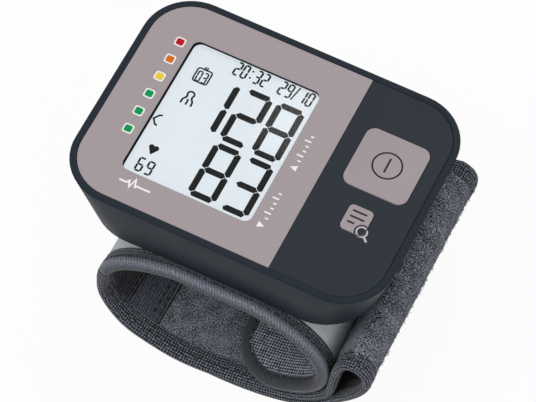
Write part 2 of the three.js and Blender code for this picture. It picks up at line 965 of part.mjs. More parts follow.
function buildBatteries() {
  const secondCellX = firstCellX + cellSpacing;
  addPiece('battery_cell_1', cellBody(firstCellX, 1), looks.cell);
  addPiece('battery_cell_2', cellBody(secondCellX, -1), looks.cell);
  addPiece('battery_spring_1', springGeometry(firstCellX, -1), looks.steel);
  addPiece('battery_spring_2', springGeometry(secondCellX, 1), looks.steel);
  const bridge = contactPlate(
    firstCellX - contactHalfWidth,
    secondCellX + contactHalfWidth,
    1,
  );
  addPiece('battery_bridge_plate', bridge.add(contactDome(firstCellX, 1)), looks.steel);
  const minus = contactPlate(firstCellX - contactHalfWidth, firstCellX + contactHalfWidth, -1);
  addPiece('battery_minus_plate', minus, looks.steel);
  const plus = contactPlate(secondCellX - contactHalfWidth, secondCellX + contactHalfWidth, -1);
  addPiece('battery_plus_plate', plus.add(contactDome(secondCellX, -1)), looks.steel);
}

// Air pump: a diaphragm head, its motor in a rubber sleeve, and the shaft with its eccentric

const headRight = pumpHeadLeft + pumpHeadLength;
const pumpHeadFar = pumpY + pumpHeadHalfHeight;

function buildPump() {
  let head = block(
    pumpHeadLeft,
    headRight,
    pumpY - pumpHeadHalfHeight,
    pumpY + pumpHeadHalfHeight,
    pumpDepth - pumpHeadHalfHeight,
    pumpDepth + pumpHeadHalfHeight,
  );
  head = head.add(
    rodAlongY(
      pumpPortX,
      pumpHeadFar - overrun,
      pumpHeadFar + portLength,
      pumpDepth,
      portRadius,
      smallRoundSteps,
    ),
  );
  head = head.subtract(
    rodAlongX(
      headRight - headCavityDepth,
      headRight + overrun,
      pumpY,
      pumpDepth,
      headCavityRadius,
      roundSteps,
    ),
  );
  addPiece('pump_head', head, looks.pumpPlastic);

  const motor = rodAlongX(motorLeft, motorRight, pumpY, pumpDepth, motorRadius, roundSteps);
  const boreEnd = motorLeft + rotorShaftInMotor + seatGap;
  const boreRadius = rotorShaftRadius + running;
  const bore = rodAlongX(motorLeft - overrun, boreEnd, pumpY, pumpDepth, boreRadius);
  addPiece('pump_motor', motor.subtract(bore), looks.steel);

  const sleeve = rodAlongX(sleeveLeft, sleeveRight, pumpY, pumpDepth, sleeveRadius, roundSteps);
  const sleeveBore = rodAlongX(
    sleeveLeft - overrun,
    sleeveRight + overrun,
    pumpY,
    pumpDepth,
    motorRadius + slip,
    roundSteps,
  );
  addPiece('pump_sleeve', sleeve.subtract(sleeveBore), looks.rubber);

  const eccentricRight = headRight - seatGap;
  const eccentricLeft = eccentricRight - eccentricThickness;
  const shaft = rodAlongX(
    eccentricLeft,
    motorLeft + rotorShaftInMotor,
    pumpY,
    pumpDepth,
    rotorShaftRadius,
  );
  const eccentric = rodAlongX(
    eccentricLeft,
    eccentricRight,
    pumpY,
    pumpDepth - eccentricOffset,
    eccentricRadius,
  );
  addPiece('pump_rotor', shaft.add(eccentric), looks.steel);
}

// Release valve: a coil between the plates of a bent frame, and a plunger through both

const valveLeft = valveX - valveCoilLength / 2;
const valveRight = valveX + valveCoilLength / 2;
const valveFrontLeft = valveLeft - fit - valveFrameThickness;
const valveRearRight = valveRight + fit + valveFrameThickness;
const valvePortTip = valveFrontLeft - portLength;

function valvePlate(left, right, top, bottom) {
  return block(left, right, valveY - valveFrameHalf, valveY + valveFrameHalf, top, bottom);
}

function buildValve() {
  const top = valveDepth - valveFrameHalf;
  const footTop = valveDepth + valveCoilRadius + fit;
  const footBottom = footTop + valveFrameThickness;
  const front = valvePlate(valveFrontLeft, valveLeft - fit, top, footBottom);
  const rear = valvePlate(valveRight + fit, valveRearRight, top, footBottom);
  const foot = valvePlate(valveFrontLeft, valveRearRight, footTop, footBottom);
  const port = rodAlongX(
    valvePortTip,
    valveFrontLeft + valveFrameThickness / 2,
    valveY,
    valveDepth,
    portRadius,
  );
  const plungerHole = valvePlungerRadius + running;
  const rearHole = rodAlongX(
    valveRight,
    valveRearRight + overrun,
    valveY,
    valveDepth,
    plungerHole,
  );
  const frame = front.add(rear).add(foot).add(port).subtract(rearHole);
  addPiece('release_valve_frame', frame, looks.steel);

  const coil = rodAlongX(valveLeft, valveRight, valveY, valveDepth, valveCoilRadius, roundSteps);
  const coilBore = rodAlongX(
    valveLeft - overrun,
    valveRight + overrun,
    valveY,
    valveDepth,
    plungerHole,
  );
  addPiece('release_valve_coil', coil.subtract(coilBore), looks.valveCoil);

  const headLeft = valveRearRight + valveStroke + fit;
  const rod = rodAlongX(
    valveLeft + valveStroke + fit,
    headLeft + valvePlungerHeadLength / 2,
    valveY,
    valveDepth,
    valvePlungerRadius,
  );
  const head = rodAlongX(
    headLeft,
    headLeft + valvePlungerHeadLength,
    valveY,
    valveDepth,
    valvePlungerHeadRadius,
  );
  addPiece('release_valve_plunger', rod.add(head), looks.steel);
}

// Manifold with three ports, the tubes to pump, valve and sensor, and the nozzle into the cuff

const manifoldLeft = manifoldX - manifoldHalfWidth;
const manifoldRight = manifoldX + manifoldHalfWidth;
const manifoldBottom = manifoldDepth + manifoldHalfHeight;

function buildManifold() {
  let body = block(
    manifoldLeft,
    manifoldRight,
    -manifoldHalfWidth,
    manifoldHalfWidth,
    manifoldDepth - manifoldHalfHeight,
    manifoldBottom,
  );
  body = body.add(
    rodAlongX(manifoldX, manifoldRight + portLength, 0, manifoldDepth, portRadius),
  );
  body = body.add(
    rodAlongY(
      manifoldX,
      -manifoldHalfWidth - portLength,
      manifoldHalfWidth + portLength,
      manifoldDepth,
      portRadius,
      smallRoundSteps,
    ),
  );
  addPiece('air_manifold', body, looks.pumpPlastic);
}

// A tube is pushed over both ports: straight over each of them, and one bend in between

function circlePath(path, radius) {
  for (let k = 0; k < tubeSides; k += 1) {
    const angle = (2 * Math.PI * k) / tubeSides;
    const x = radius * Math.cos(angle);
    const y = radius * Math.sin(angle);
    if (k === 0) path.moveTo(x, y);
    else path.lineTo(x, y);
  }
  return path;
}

function tubeBetween(from, out, to, back) {
  const overPort = portLength - seatGap;
  const startTip = from.clone().addScaledVector(out, overPort);
  const endTip = to.clone().addScaledVector(back, overPort);
  const handle = tubeBendShare * startTip.distanceTo(endTip);
  const path = new THREE.CurvePath();
  path.add(new THREE.LineCurve3(from, startTip));
  path.add(
    new THREE.CubicBezierCurve3(
      startTip,
      startTip.clone().addScaledVector(out, handle),
      endTip.clone().addScaledVector(back, handle),
      endTip,
    ),
  );
  path.add(new THREE.LineCurve3(endTip, to));
  const bore = portRadius + fit;
  const section = circlePath(new THREE.Shape(), bore + tubeWall);
  section.holes.push(circlePath(new THREE.Path(), bore));
  return new THREE.ExtrudeGeometry(section, { steps: tubeSteps, extrudePath: path });
}

function buildTubes() {
  const alongX = new THREE.Vector3(1, 0, 0);
  const alongY = new THREE.Vector3(0, 1, 0);
  const backX = alongX.clone().negate();
  const backY = alongY.clone().negate();
  const place = (x, y, depth) => new THREE.Vector3(x, y, -depth);
  addPiece(
    'air_tube_pump',
    tubeBetween(
      place(pumpPortX, pumpHeadFar + seatGap, pumpDepth),
      alongY,
      place(manifoldX, -manifoldHalfWidth - seatGap, manifoldDepth),
      backY,
    ),
    looks.tube,
  );
  addPiece(
    'air_tube_valve',
    tubeBetween(
      place(manifoldX, manifoldHalfWidth + seatGap, manifoldDepth),
      alongY,
      place(valveFrontLeft - seatGap, valveY, valveDepth),
      backX,
    ),
    looks.tube,
  );
  addPiece(
    'air_tube_sensor',
    tubeBetween(
      place(manifoldRight + seatGap, 0, manifoldDepth),
      alongX,
      place(sensorX - sensorHalfWidth - seatGap, sensorY, sensorPortDepth),
      backX,
    ),
    looks.tube,
  );
}

function buildNozzle() {
  const nozzleTop = manifoldBottom + fit;
  const nozzleBottom = ringTop + coverThickness + stiffenerThickness + slip;
  const sealTop = padTop - slip - sealThickness;
  const collarBottom = sealTop - slip;
  const tube = post(manifoldX, 0, nozzleRadius, nozzleTop, nozzleBottom);
  const collar = post(
    manifoldX,
    0,
    nozzleCollarRadius,
    collarBottom - nozzleCollarThickness,
    collarBottom,
  );
  const bore = post(manifoldX, 0, nozzleBoreRadius, nozzleTop - overrun, nozzleBottom + overrun);
  addPiece('cuff_nozzle', tube.add(collar).subtract(bore), looks.pumpPlastic);
  const washer = post(manifoldX, 0, nozzleCollarRadius, sealTop, sealTop + sealThickness);
  const washerHole = post(
    manifoldX,
    0,
    nozzleRadius + slip,
    sealTop - overrun,
    padTop + overrun,
  );
  addPiece('nozzle_seal', washer.subtract(washerHole), looks.seal);
}

function buildMountPlate() {
  const outline = roundedRectangle(
    ringCentreX,
    0,
    mountPlateHalfLength,
    mountPlateHalfWidth,
    mountPlateCorner,
  );
  const plate = slab(outline, plateTop, plateBottom, smallArcSteps);
  const hole = post(
    manifoldX,
    0,
    nozzleRadius + seatGap,
    plateTop - overrun,
    plateBottom + overrun,
  );
  addPiece('cuff_mount_plate', plate.subtract(hole), looks.switchBody);
}

// The spiral of the band: turn 0 is right, 0.25 top, 0.5 left, 0.75 bottom, and so on

const ringTopZ = -ringTop;

function spiralPoint(turn, outset = 0) {
  const angle = 2 * Math.PI * turn;
  const growth = ringPitch * (turn - jointTurn) + outset;
  const power = 2 / ringPower;
  const cosine = Math.cos(angle);
  const sine = Math.sin(angle);
  const wide = Math.sign(cosine) * Math.abs(cosine) ** power;
  const high = Math.sign(sine) * Math.abs(sine) ** power;
  const x = ringCentreX + (ringHalfWidth + growth) * wide;
  const z = -ringCentreDepth + (ringHalfHeight + growth) * high;
  return new THREE.Vector2(x, Math.min(z, ringTopZ));
}

function spiralPoints(from, to, outset = 0) {
  const length = 2 * Math.PI * ringHalfWidth * Math.abs(to - from);
  const steps = Math.ceil(length / stationLength);
  const points = [];
  for (let k = 0; k <= steps; k += 1) {
    points.push(spiralPoint(from + ((to - from) * k) / steps, outset));
  }
  return points;
}

// A track is a run along the band. It gives the point at a length along it, moved inwards.

class Track {
  constructor(points) {
    this.points = points;
    this.lengths = [0];
    for (let k = 1; k < points.length; k += 1) {
      this.lengths.push(this.lengths[k - 1] + points[k].distanceTo(points[k - 1]));
    }
    this.total = this.lengths[this.lengths.length - 1];
    this.normals = points.map((point, k) => {
      const before = points[Math.max(k - 1, 0)];
      const after = points[Math.min(k + 1, points.length - 1)];
      const step = after.clone().sub(before).normalize();
      return new THREE.Vector2(step.y, -step.x);
    });
  }

  at(length, inset) {
    let k = 0;
    while (k + 2 < this.lengths.length && this.lengths[k + 1] < length) k += 1;
    const span = this.lengths[k + 1] - this.lengths[k];
    const share = (length - this.lengths[k]) / span;
    const point = this.points[k].clone().lerp(this.points[k + 1], share);
    const normal = this.normals[k].clone().lerp(this.normals[k + 1], share).normalize();
    return point.addScaledVector(normal, -inset);
  }

  lengthNearest(target, limit = Infinity) {
    let best = 0;
    for (let k = 1; k < this.points.length && this.lengths[k] < limit; k += 1) {
      const closer = this.points[k].distanceTo(target) < this.points[best].distanceTo(target);
      if (closer) best = k;
    }
    return this.lengths[best];
  }
}

function stationsBetween(from, to, extra = []) {
  const count = Math.max(1, Math.ceil((to - from) / stationLength));
  const stations = [];
  for (let k = 0; k <= count; k += 1) stations.push(from + ((to - from) * k) / count);
  for (const value of extra) if (value > from && value < to) stations.push(value);
  return stations.sort((a, b) => a - b);
}

// Half width of a band at a distance from its end, which has round corners

function cornerWidth(distanceFromEnd, corner, edgeInset) {
  const straight = cuffHalfWidth - edgeInset;
  const bend = corner - distanceFromEnd;
  if (bend <= 0) return straight;
  const radius = corner - edgeInset;
  return cuffHalfWidth - corner + Math.sqrt(Math.max(radius ** 2 - bend ** 2, 0));
}

function cornerStations(corner, edgeInset) {
  const stations = [];
  for (let k = 0; k <= arcSteps; k += 1) {
    const angle = (Math.PI / 2) * (k / arcSteps);
    stations.push(corner - (corner - edgeInset) * Math.cos(angle));
  }
  return stations;
}

function layerGeometry(track, stations, insets, halfWidthAt, floor = -Infinity) {
  const loops = stations.map((length) => {
    const half = halfWidthAt(length);
    const face = track.at(length, insets[0]);
    const back = track.at(length, insets[1]);
    const faceZ = Math.max(face.y, floor);
    const backZ = Math.max(back.y, floor);
    const near = cuffShiftY - half;
    const far = cuffShiftY + half;
    return [
      new THREE.Vector3(face.x, near, faceZ),
      new THREE.Vector3(face.x, far, faceZ),
      new THREE.Vector3(back.x, far, backZ),
      new THREE.Vector3(back.x, near, backZ),
    ];
  });
  return skinGeometry(loops);
}

// A binding runs along the edges of a band: one bead along the near edge, round the end and back

function edgePath(from, to, endSide, corner) {
  const places = [];
  const straightHalf = cuffHalfWidth;
  const runFrom = endSide === 'start' ? to : from;
  const runTo = endSide === 'start' ? from + corner : to - corner;
  const inward = endSide === 'start' ? -1 : 1;
  const count = Math.ceil(Math.abs(runTo - runFrom) / stationLength);
  for (let k = 0; k <= count; k += 1) {
    const length = runFrom + ((runTo - runFrom) * k) / count;
    places.push({ length, half: straightHalf, outLength: 0, outHalf: 1 });
  }
  for (let k = 1; k <= arcSteps; k += 1) {
    const angle = (Math.PI / 2) * (k / arcSteps);
    places.push({
      length: runTo + inward * corner * Math.sin(angle),
      half: straightHalf - corner + corner * Math.cos(angle),
      outLength: inward * Math.sin(angle),
      outHalf: Math.cos(angle),
    });
  }
  return places;
}

function beadGeometry(track, places, insets, firstSide, floor = -Infinity) {
  const beadLoop = (place, side) => {
    const corners = [];
    for (const [inset, back] of [[0, 0], [0, 1], [1, 1], [1, 0]]) {
      const move = -bindingWidth * back;
      const point = track.at(place.length + place.outLength * move, insets[inset]);
      const half = place.half + place.outHalf * move;
      corners.push(
        new THREE.Vector3(point.x, cuffShiftY + side * half, Math.max(point.y, floor)),
      );
    }
    return corners;
  };
  const thereRun = places.map((place) => beadLoop(place, firstSide));
  const backRun = [...places].reverse().map((place) => beadLoop(place, -firstSide));
  return skinGeometry([...thereRun, ...backRun]);
}

// Cuff on the housing: from the tip of its tongue, round the right and over the top, to the left

const jointHalfGap = seatGap / 2 / (2 * Math.PI * ringHalfHeight);
const bandThickness =
  coverThickness + stiffenerThickness + bladderThickness + liningThickness + 3 * slip;
const ringTrack = new Track(spiralPoints(tongueTipTurn, jointTurn - jointHalfGap));
const layerEdge = bindingWidth + slip;

function ringTopHole(geometry) {
  const hole = post(
    manifoldX,
    0,
    nozzleRadius + seatGap,
    ringTop - overrun,
    ringTop + bandThickness / 2,
  );
  return solid(geometry).subtract(hole);
}

function buildCuff() {
  const tongueWidth = (length) => cornerWidth(length, tongueCorner, layerEdge);
  const extra = cornerStations(tongueCorner, layerEdge);
  const stations = stationsBetween(layerEdge, ringTrack.total, extra);
  const coverInsets = [0, coverThickness];
  const stiffenerInsets = [coverInsets[1] + slip, coverInsets[1] + slip + stiffenerThickness];
  const bladderInsets = [
    stiffenerInsets[1] + slip,
    stiffenerInsets[1] + slip + bladderThickness,
  ];
  const liningInsets = [bladderInsets[1] + slip, bandThickness];
  const cover = layerGeometry(ringTrack, stations, coverInsets, tongueWidth);
  addPiece('cuff_cover', ringTopHole(cover), looks.cuffCloth);
  const stiffener = layerGeometry(ringTrack, stations, stiffenerInsets, tongueWidth);
  addPiece('cuff_stiffener', ringTopHole(stiffener), looks.stiffener);
  const bladderWidth = () => bladderHalfWidth;
  const bladderStations = stationsBetween(tongueCorner, ringTrack.total - tongueCorner);
  addPiece(
    'cuff_bladder',
    layerGeometry(ringTrack, bladderStations, bladderInsets, bladderWidth),
    looks.bladder,
  );
  addPiece(
    'cuff_lining',
    layerGeometry(ringTrack, stations, liningInsets, tongueWidth),
    looks.cuffCloth,
  );
  const places = edgePath(0, ringTrack.total, 'start', tongueCorner);
  addPiece(
    'cuff_binding',
    beadGeometry(ringTrack, places, [0, bandThickness], 1),
    looks.binding,
  );
  const hookStations = stationsBetween(hookStart, hookStart + hookLength);
  addPiece(
    'tongue_hook_patch',
    layerGeometry(
      ringTrack,
      hookStations,
      [-seatGap - hookThickness, -seatGap],
      () => hookHalfWidth,
    ),
    looks.hook,
  );
}

// Strap: from the left, under the wrist and up the right side to the fold

const strapThickness = strapCoverThickness + slip + strapPadThickness;
const flapOutset = seatGap;

const foldTop = new THREE.Vector2(ringSideX + foldTopOut, foldTopUp - ringCentreDepth);

function foldPoints() {
  const curve = new THREE.CatmullRomCurve3([
    spiralPoint(strapReturnTurn),
    spiralPoint(strapLeaveTurn),
    new THREE.Vector2(ringSideX + foldRiseOut, foldRiseUp - ringCentreDepth),
    foldTop,
    new THREE.Vector2(ringSideX + foldShoulderOut, foldShoulderUp - ringCentreDepth),
    new THREE.Vector2(ringSideX + foldBulgeOut, foldBulgeUp - ringCentreDepth),
    new THREE.Vector2(ringSideX + foldBackOut, foldBackUp - ringCentreDepth),
    new THREE.Vector2(ringSideX + foldCloseOut, -foldCloseDown - ringCentreDepth),
    spiralPoint(strapReturnTurn, flapOutset),
  ].map((point) => new THREE.Vector3(point.x, point.y, 0)));
  return curve.getSpacedPoints(foldSteps).map((point) => new THREE.Vector2(point.x, point.y));
}

const wholeStrap = new Track([
  ...spiralPoints(jointTurn + jointHalfGap, strapReturnTurn),
  ...foldPoints().slice(1),
  ...spiralPoints(strapReturnTurn, strapTailTurn, flapOutset).slice(1),
]);
const foldLength = wholeStrap.lengthNearest(foldTop);
const strapEndStart = foldLength + seatGap;
const flapBottom = Math.min(
  ...wholeStrap.points.map((point, k) => {
    const away = wholeStrap.lengths[k] > foldLength ? strapThickness : 0;
    return point.y - wholeStrap.normals[k].y * away;
  }),
);
const floorZ = flapBottom + footFlat;

function buildStrap() {
  const fullWidth = () => cuffHalfWidth - layerEdge;
  const coverInsets = [0, strapCoverThickness];
  const padInsets = [strapCoverThickness + slip, strapThickness];
  const seam = wholeStrap.lengthNearest(spiralPoint(padSeamTurn), foldLength);
  const strapRuns = [
    ['strap_cover', 0, foldLength, coverInsets, looks.cuffCloth],
    ['strap_lining', 0, seam, padInsets, looks.cuffCloth],
    ['strap_loop_pad', seam + seatGap, foldLength, padInsets, looks.strapLoop],
  ];
  for (const [name, from, to, insets, material] of strapRuns) {
    const geometry = layerGeometry(wholeStrap, stationsBetween(from, to), insets, fullWidth);
    addPiece(name, geometry, material);
  }
  const bindingStations = stationsBetween(0, foldLength);
  for (const [name, side] of [['strap_near_binding', -1], ['strap_far_binding', 1]]) {
    const loops = bindingStations.map((length) => {
      const face = wholeStrap.at(length, 0);
      const back = wholeStrap.at(length, strapThickness);
      const outer = cuffShiftY + side * cuffHalfWidth;
      const inner = cuffShiftY + side * (cuffHalfWidth - bindingWidth);
      const near = Math.min(outer, inner);
      const far = Math.max(outer, inner);
      return [
        new THREE.Vector3(face.x, near, face.y),
        new THREE.Vector3(face.x, far, face.y),
        new THREE.Vector3(back.x, far, back.y),
        new THREE.Vector3(back.x, near, back.y),
      ];
    });
    addPiece(name, skinGeometry(loops), looks.binding);
  }
}

function buildStrapEnd() {
  const end = wholeStrap.total;
  const width = (length) => cornerWidth(end - length, tailCorner, layerEdge);
  const extra = cornerStations(tailCorner, layerEdge).map((value) => end - value);
  const stations = stationsBetween(strapEndStart, end - layerEdge, extra);
  const coverInsets = [0, strapCoverThickness];
  const padInsets = [strapCoverThickness + slip, strapThickness];
  addPiece(
    'strap_end_cover',
    layerGeometry(wholeStrap, stations, coverInsets, width, floorZ),
    looks.cuffCloth,
  );
  addPiece(
    'strap_end_loop_pad',
    layerGeometry(wholeStrap, stations, padInsets, width, floorZ),
    looks.strapLoop,
  );
  const places = edgePath(strapEndStart, end, 'end', tailCorner);
  addPiece(
    'strap_end_binding',
    beadGeometry(wholeStrap, places, [0, strapThickness], -1, floorZ),
    looks.binding,
  );
}

buildShellAndDoor();
buildBaseCover();
buildScrews();
buildFace();
buildDisplayHolder();
buildConnectors();
buildKey('start_stop', startKeyShape, startKeyX, startKeyY, looks.key);
buildKey('memory', memoryKeyShape, memoryKeyX, memoryKeyY, looks.key);
buildBoard();
buildBatteries();
buildPump();
buildValve();
buildManifold();
buildTubes();
buildNozzle();
buildMountPlate();
buildCuff();
buildStrap();
buildStrapEnd();

// Stand the device on the ground with its box centred on the origin

const strapReach = Math.max(
  ...wholeStrap.points.map((point, k) => point.x - wholeStrap.normals[k].x * strapThickness),
);
device.position.set((housingHalfLength - strapReach) / 2, -cuffShiftY, -floorZ);

export default device;
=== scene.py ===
# %% [markdown]
# # Wrist blood pressure monitor
# The frame holds every piece of the device at its real size and place. This script gives the
# rigid pieces their finish, prints the marks on the face and the reading on the display, and
# makes the cloth of the cuff: the frame only holds plain solids for it. Lengths in this script
# are millimetres until a mesh is made, because that is how such a device is drawn.

# %% Load the frame and keep its box
import json
import math
from functools import partial

import bmesh
import bpy
import numpy as np
from mathutils import Matrix, Vector, noise


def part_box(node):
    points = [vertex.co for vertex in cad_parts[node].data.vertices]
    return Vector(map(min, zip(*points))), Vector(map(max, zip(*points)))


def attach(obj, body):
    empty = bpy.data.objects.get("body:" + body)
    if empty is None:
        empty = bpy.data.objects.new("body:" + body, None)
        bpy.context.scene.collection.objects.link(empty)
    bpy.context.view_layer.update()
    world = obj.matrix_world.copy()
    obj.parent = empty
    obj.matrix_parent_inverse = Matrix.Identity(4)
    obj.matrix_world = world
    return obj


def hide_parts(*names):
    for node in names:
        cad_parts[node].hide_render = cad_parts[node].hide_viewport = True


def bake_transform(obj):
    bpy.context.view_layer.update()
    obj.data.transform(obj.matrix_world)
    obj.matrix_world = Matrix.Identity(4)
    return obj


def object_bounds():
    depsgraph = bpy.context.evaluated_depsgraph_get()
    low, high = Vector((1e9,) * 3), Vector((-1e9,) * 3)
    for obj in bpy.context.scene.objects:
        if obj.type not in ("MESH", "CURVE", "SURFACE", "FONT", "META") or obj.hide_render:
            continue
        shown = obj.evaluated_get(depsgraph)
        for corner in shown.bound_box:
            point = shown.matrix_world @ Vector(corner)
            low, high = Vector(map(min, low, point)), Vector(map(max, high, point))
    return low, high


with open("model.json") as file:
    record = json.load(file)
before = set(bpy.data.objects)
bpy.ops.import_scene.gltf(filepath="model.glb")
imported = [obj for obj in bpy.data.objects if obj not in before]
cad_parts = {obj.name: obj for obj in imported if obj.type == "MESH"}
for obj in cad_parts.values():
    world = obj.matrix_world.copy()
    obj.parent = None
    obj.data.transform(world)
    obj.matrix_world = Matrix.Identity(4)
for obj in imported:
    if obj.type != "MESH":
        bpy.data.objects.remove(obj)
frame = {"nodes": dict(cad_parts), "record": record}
cad_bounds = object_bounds()
MM = 0.001
shell_low, shell_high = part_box("housing_shell")
face_origin = Vector((
    (shell_low.x + shell_high.x) / 2, (shell_low.y + shell_high.y) / 2, shell_high.z,
))
print("face origin (mm):", [round(value / MM, 2) for value in face_origin])


def on_face(x, y, depth=0.0):
    """The place in metres of a point given in millimetres from the middle of the face."""
    return face_origin + Vector((x, y, -depth)) * MM


def top_depth(node):
    """How far the top of a node lies below the face, in millimetres."""
    return (face_origin.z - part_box(node)[1].z) / MM


def middle_of(node):
    """The middle of a node seen from above, in millimetres from the middle of the face."""
    low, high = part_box(node)
    return [((low[k] + high[k]) / 2 - face_origin[k]) / MM for k in (0, 1)]


def put(name, data):
    """Adds an object to the scene."""
    made = bpy.data.objects.new(name, data)
    bpy.context.scene.collection.objects.link(made)
    return made


# %% [markdown]
# ## Camera
# A long lens from the front right, high above the face, as a catalogue picture is taken. The
# place and the two directions are written from the middle of the face, so that the camera stays
# with the device if the frame moves.

# %% Camera
CAMERA_PLACE = Vector((145.0, -347.7, -630.5))
VIEW_DIRECTION = Vector((-0.18992, 0.46034, -0.86719))
IMAGE_UP = Vector((-0.39629, 0.77217, 0.49669))
LENS = 206.2
SENSOR_WIDTH = 36.0
CLIP_START = 0.01
CLIP_END = 10.0

camera = put("camera", bpy.data.cameras.new("camera"))
view_back = -VIEW_DIRECTION.normalized()
view_right = IMAGE_UP.cross(view_back).normalized()
view_up = view_back.cross(view_right)
turned = Matrix((view_right, view_up, view_back)).transposed().to_4x4()
camera.matrix_world = Matrix.Translation(on_face(*CAMERA_PLACE)) @ turned
camera.data.lens = LENS
camera.data.sensor_width = SENSOR_WIDTH
camera.data.clip_start = CLIP_START
camera.data.clip_end = CLIP_END
bpy.context.scene.camera = camera
print("camera stands at (mm):", [round(value / MM, 1) for value in camera.location])

# %% [markdown]
# ## Colours and nodes
# Colours are written as sRGB hex values, as they are read off a screen, and shaders take linear
# values, so one function turns them. A second small function adds a node, sets its properties
# and fills its inputs, and every material below is built with it. The others hold what repeats.

# %% Colour and node helpers
WHITE = (1, 1, 1, 1)


def linear(hex_colour):
    """The linear colour of an sRGB hex value."""
    shares = [int(hex_colour[k:k + 2], 16) / 255 for k in (1, 3, 5)]
    curve = [s / 12.92 if s <= 0.04045 else ((s + 0.055) / 1.055) ** 2.4 for s in shares]
    return (*curve, 1.0)


def add_node(tree, kind, inputs=(), **settings):
    """Adds a node. Its inputs are a list in the order of its sockets, or a dict by name.

    An input that is a node or an output of one is linked, and any other input is a value.
    """
    made = tree.nodes.new(kind if "Node" in kind else "ShaderNode" + kind)
    for name, value in settings.items():
        setattr(made, name, value)
    for name, value in inputs.items() if isinstance(inputs, dict) else enumerate(inputs):
        if isinstance(value, bpy.types.Node):
            value = value.outputs[0]
        if isinstance(value, bpy.types.NodeSocket):
            tree.links.new(value, made.inputs[name])
        else:
            made.inputs[name].default_value = value
    return made


def start_nodes(name, store="materials"):
    """A new material or world, and a function that adds nodes to its empty tree."""
    made = getattr(bpy.data, store).new(name)
    made.use_nodes = True
    made.node_tree.nodes.clear()
    return made, partial(add_node, made.node_tree)


def principled(add, colour, roughness, **more):
    """Ends a tree with one shader. In the names of its further inputs, _ stands for a space."""
    inputs = {"Base Color": colour, "Roughness": roughness}
    inputs.update((name.replace("_", " "), value) for name, value in more.items())
    add("OutputMaterial", [add("BsdfPrincipled", inputs)])


def solid_millimetres(add):
    """Coordinates in millimetres that go right through a rigid piece."""
    place = add("TexCoord").outputs["Object"]
    return add("VectorMath", {0: place, "Scale": 1 / MM}, operation="SCALE")


def ramp(add, factor, stops):
    """A colour ramp from (position, hex colour) stops."""
    made = add("ValToRGB", [factor])
    elements = made.color_ramp.elements
    while len(elements) < len(stops):
        elements.new(0.5)
    for element, (position, colour) in zip(elements, stops):
        element.position = position
        element.color = linear(colour)
    return made


def tinted(add, colour, pattern, low, high, start=0.0, end=1.0):
    """A colour whose brightness follows a pattern from a low to a high share of it."""
    tone = add("MapRange", [pattern, start, end, low, high])
    return add("HueSaturation", {"Color": linear(colour), "Value": tone})


def sine_wave(add, value, pitch):
    """A wave between -1 and 1 along a value in millimetres."""
    phase = add("Math", [value, 2 * math.pi / pitch], operation="MULTIPLY")
    return add("Math", [phase], operation="SINE")


def speckled(name, colour, roughness, scale, detail, tones, **more):
    """A plain finish whose brightness wanders a little."""
    material, add = start_nodes(name)
    place = solid_millimetres(add)
    specks = add("TexNoise", {"Vector": place, "Scale": scale, "Detail": detail})
    principled(add, tinted(add, colour, specks, *tones), roughness, **more)
    return material


# %% [markdown]
# ## Stage and light
# A pale floor, a bright even surround and three wide soft lamps, as in a light tent. The floor
# and the world look white to the camera without throwing more light on the device, and the
# floor keeps a soft shadow.

# %% Floor, world and lamps
FLOOR_HALF = 3.0
AMBIENT = 0.5
FLOOR_GLOW = 0.93
LAMP_AIM = Vector((0, 0, 0.03))


def ray_is(add, *kinds):
    """1 for a ray of one of two kinds, such as one from the camera, and 0 for any other."""
    rays = add("LightPath")
    return add("Math", [rays.outputs[f"Is {kind} Ray"] for kind in kinds], operation="MAXIMUM")


def make_floor():
    mesh = bpy.data.meshes.new("floor")
    corners = [(x * FLOOR_HALF, y * FLOOR_HALF) for x, y in ((-1, -1), (1, -1), (1, 1), (-1, 1))]
    mesh.from_pydata([(x, y, cad_bounds[0][2]) for x, y in corners], [], [(0, 1, 2, 3)])
    material, add = start_nodes("matt_white_paper")
    seen = ray_is(add, "Camera", "Glossy")
    share = add("Math", [seen, FLOOR_GLOW], operation="MULTIPLY")
    shades = {"Factor": seen, "A": linear("#9c9c9c"), "B": linear("#f2f2f2")}
    shade = add("Mix", shades, data_type="RGBA")
    paper = add("BsdfDiffuse", {"Color": shade.outputs["Result"]})
    glow = add("Emission", {"Color": WHITE, "Strength": 1.0})
    add("OutputMaterial", [add("MixShader", [share, paper, glow])])
    mesh.materials.append(material)
    put("floor", mesh)


def light_world():
    world, add = start_nodes("tent", "worlds")
    seen = ray_is(add, "Camera", "Transmission")
    soft = add("Background", {"Color": linear("#fafbfc"), "Strength": AMBIENT})
    white = add("Background", {"Color": WHITE, "Strength": 1.0})
    add("OutputWorld", [add("MixShader", [seen, soft, white])])
    bpy.context.scene.world = world


def soft_lamp(name, place, size, watts):
    """A square area lamp at a place in metres that looks at the middle of the device."""
    data = bpy.data.lights.new(name, "AREA")
    data.size = size
    data.energy = watts
    lamp = put(name, data)
    lamp.location = place
    lamp.rotation_euler = (LAMP_AIM - lamp.location).to_track_quat("-Z", "Y").to_euler()
    return lamp


make_floor()
light_world()
lamps = [
    soft_lamp("key", (-0.45, -0.5, 0.95), 0.6, 5.0),
    soft_lamp("fill", (0.75, -0.55, 0.6), 0.5, 2.2),
    soft_lamp("top", (0.1, 0.7, 0.8), 0.6, 2.2),
]
bpy.context.scene.view_settings.view_transform = "Standard"
print("lamps:", [lamp.name for lamp in lamps])

# %% [markdown]
# ## Moulded plastic
# The casing is ABS moulded in a tool with a spark-eroded skin. The eye sees a dark, slightly
# blue grey with a fine grain that breaks the highlights. The real grain is about 0.1 mm, which
# is too fine for the picture, so it is drawn at 0.25 mm. Such a skin scatters its mirror light so
# widely that little of it comes back, hence the low specular level. A slow, weak change of
# roughness stands for the flow of the melt and for handling.

# %% Moulded plastic
ABS_IOR = 1.53
FLOW_SIZE = 14
FLOW_CHANGE = 0.05


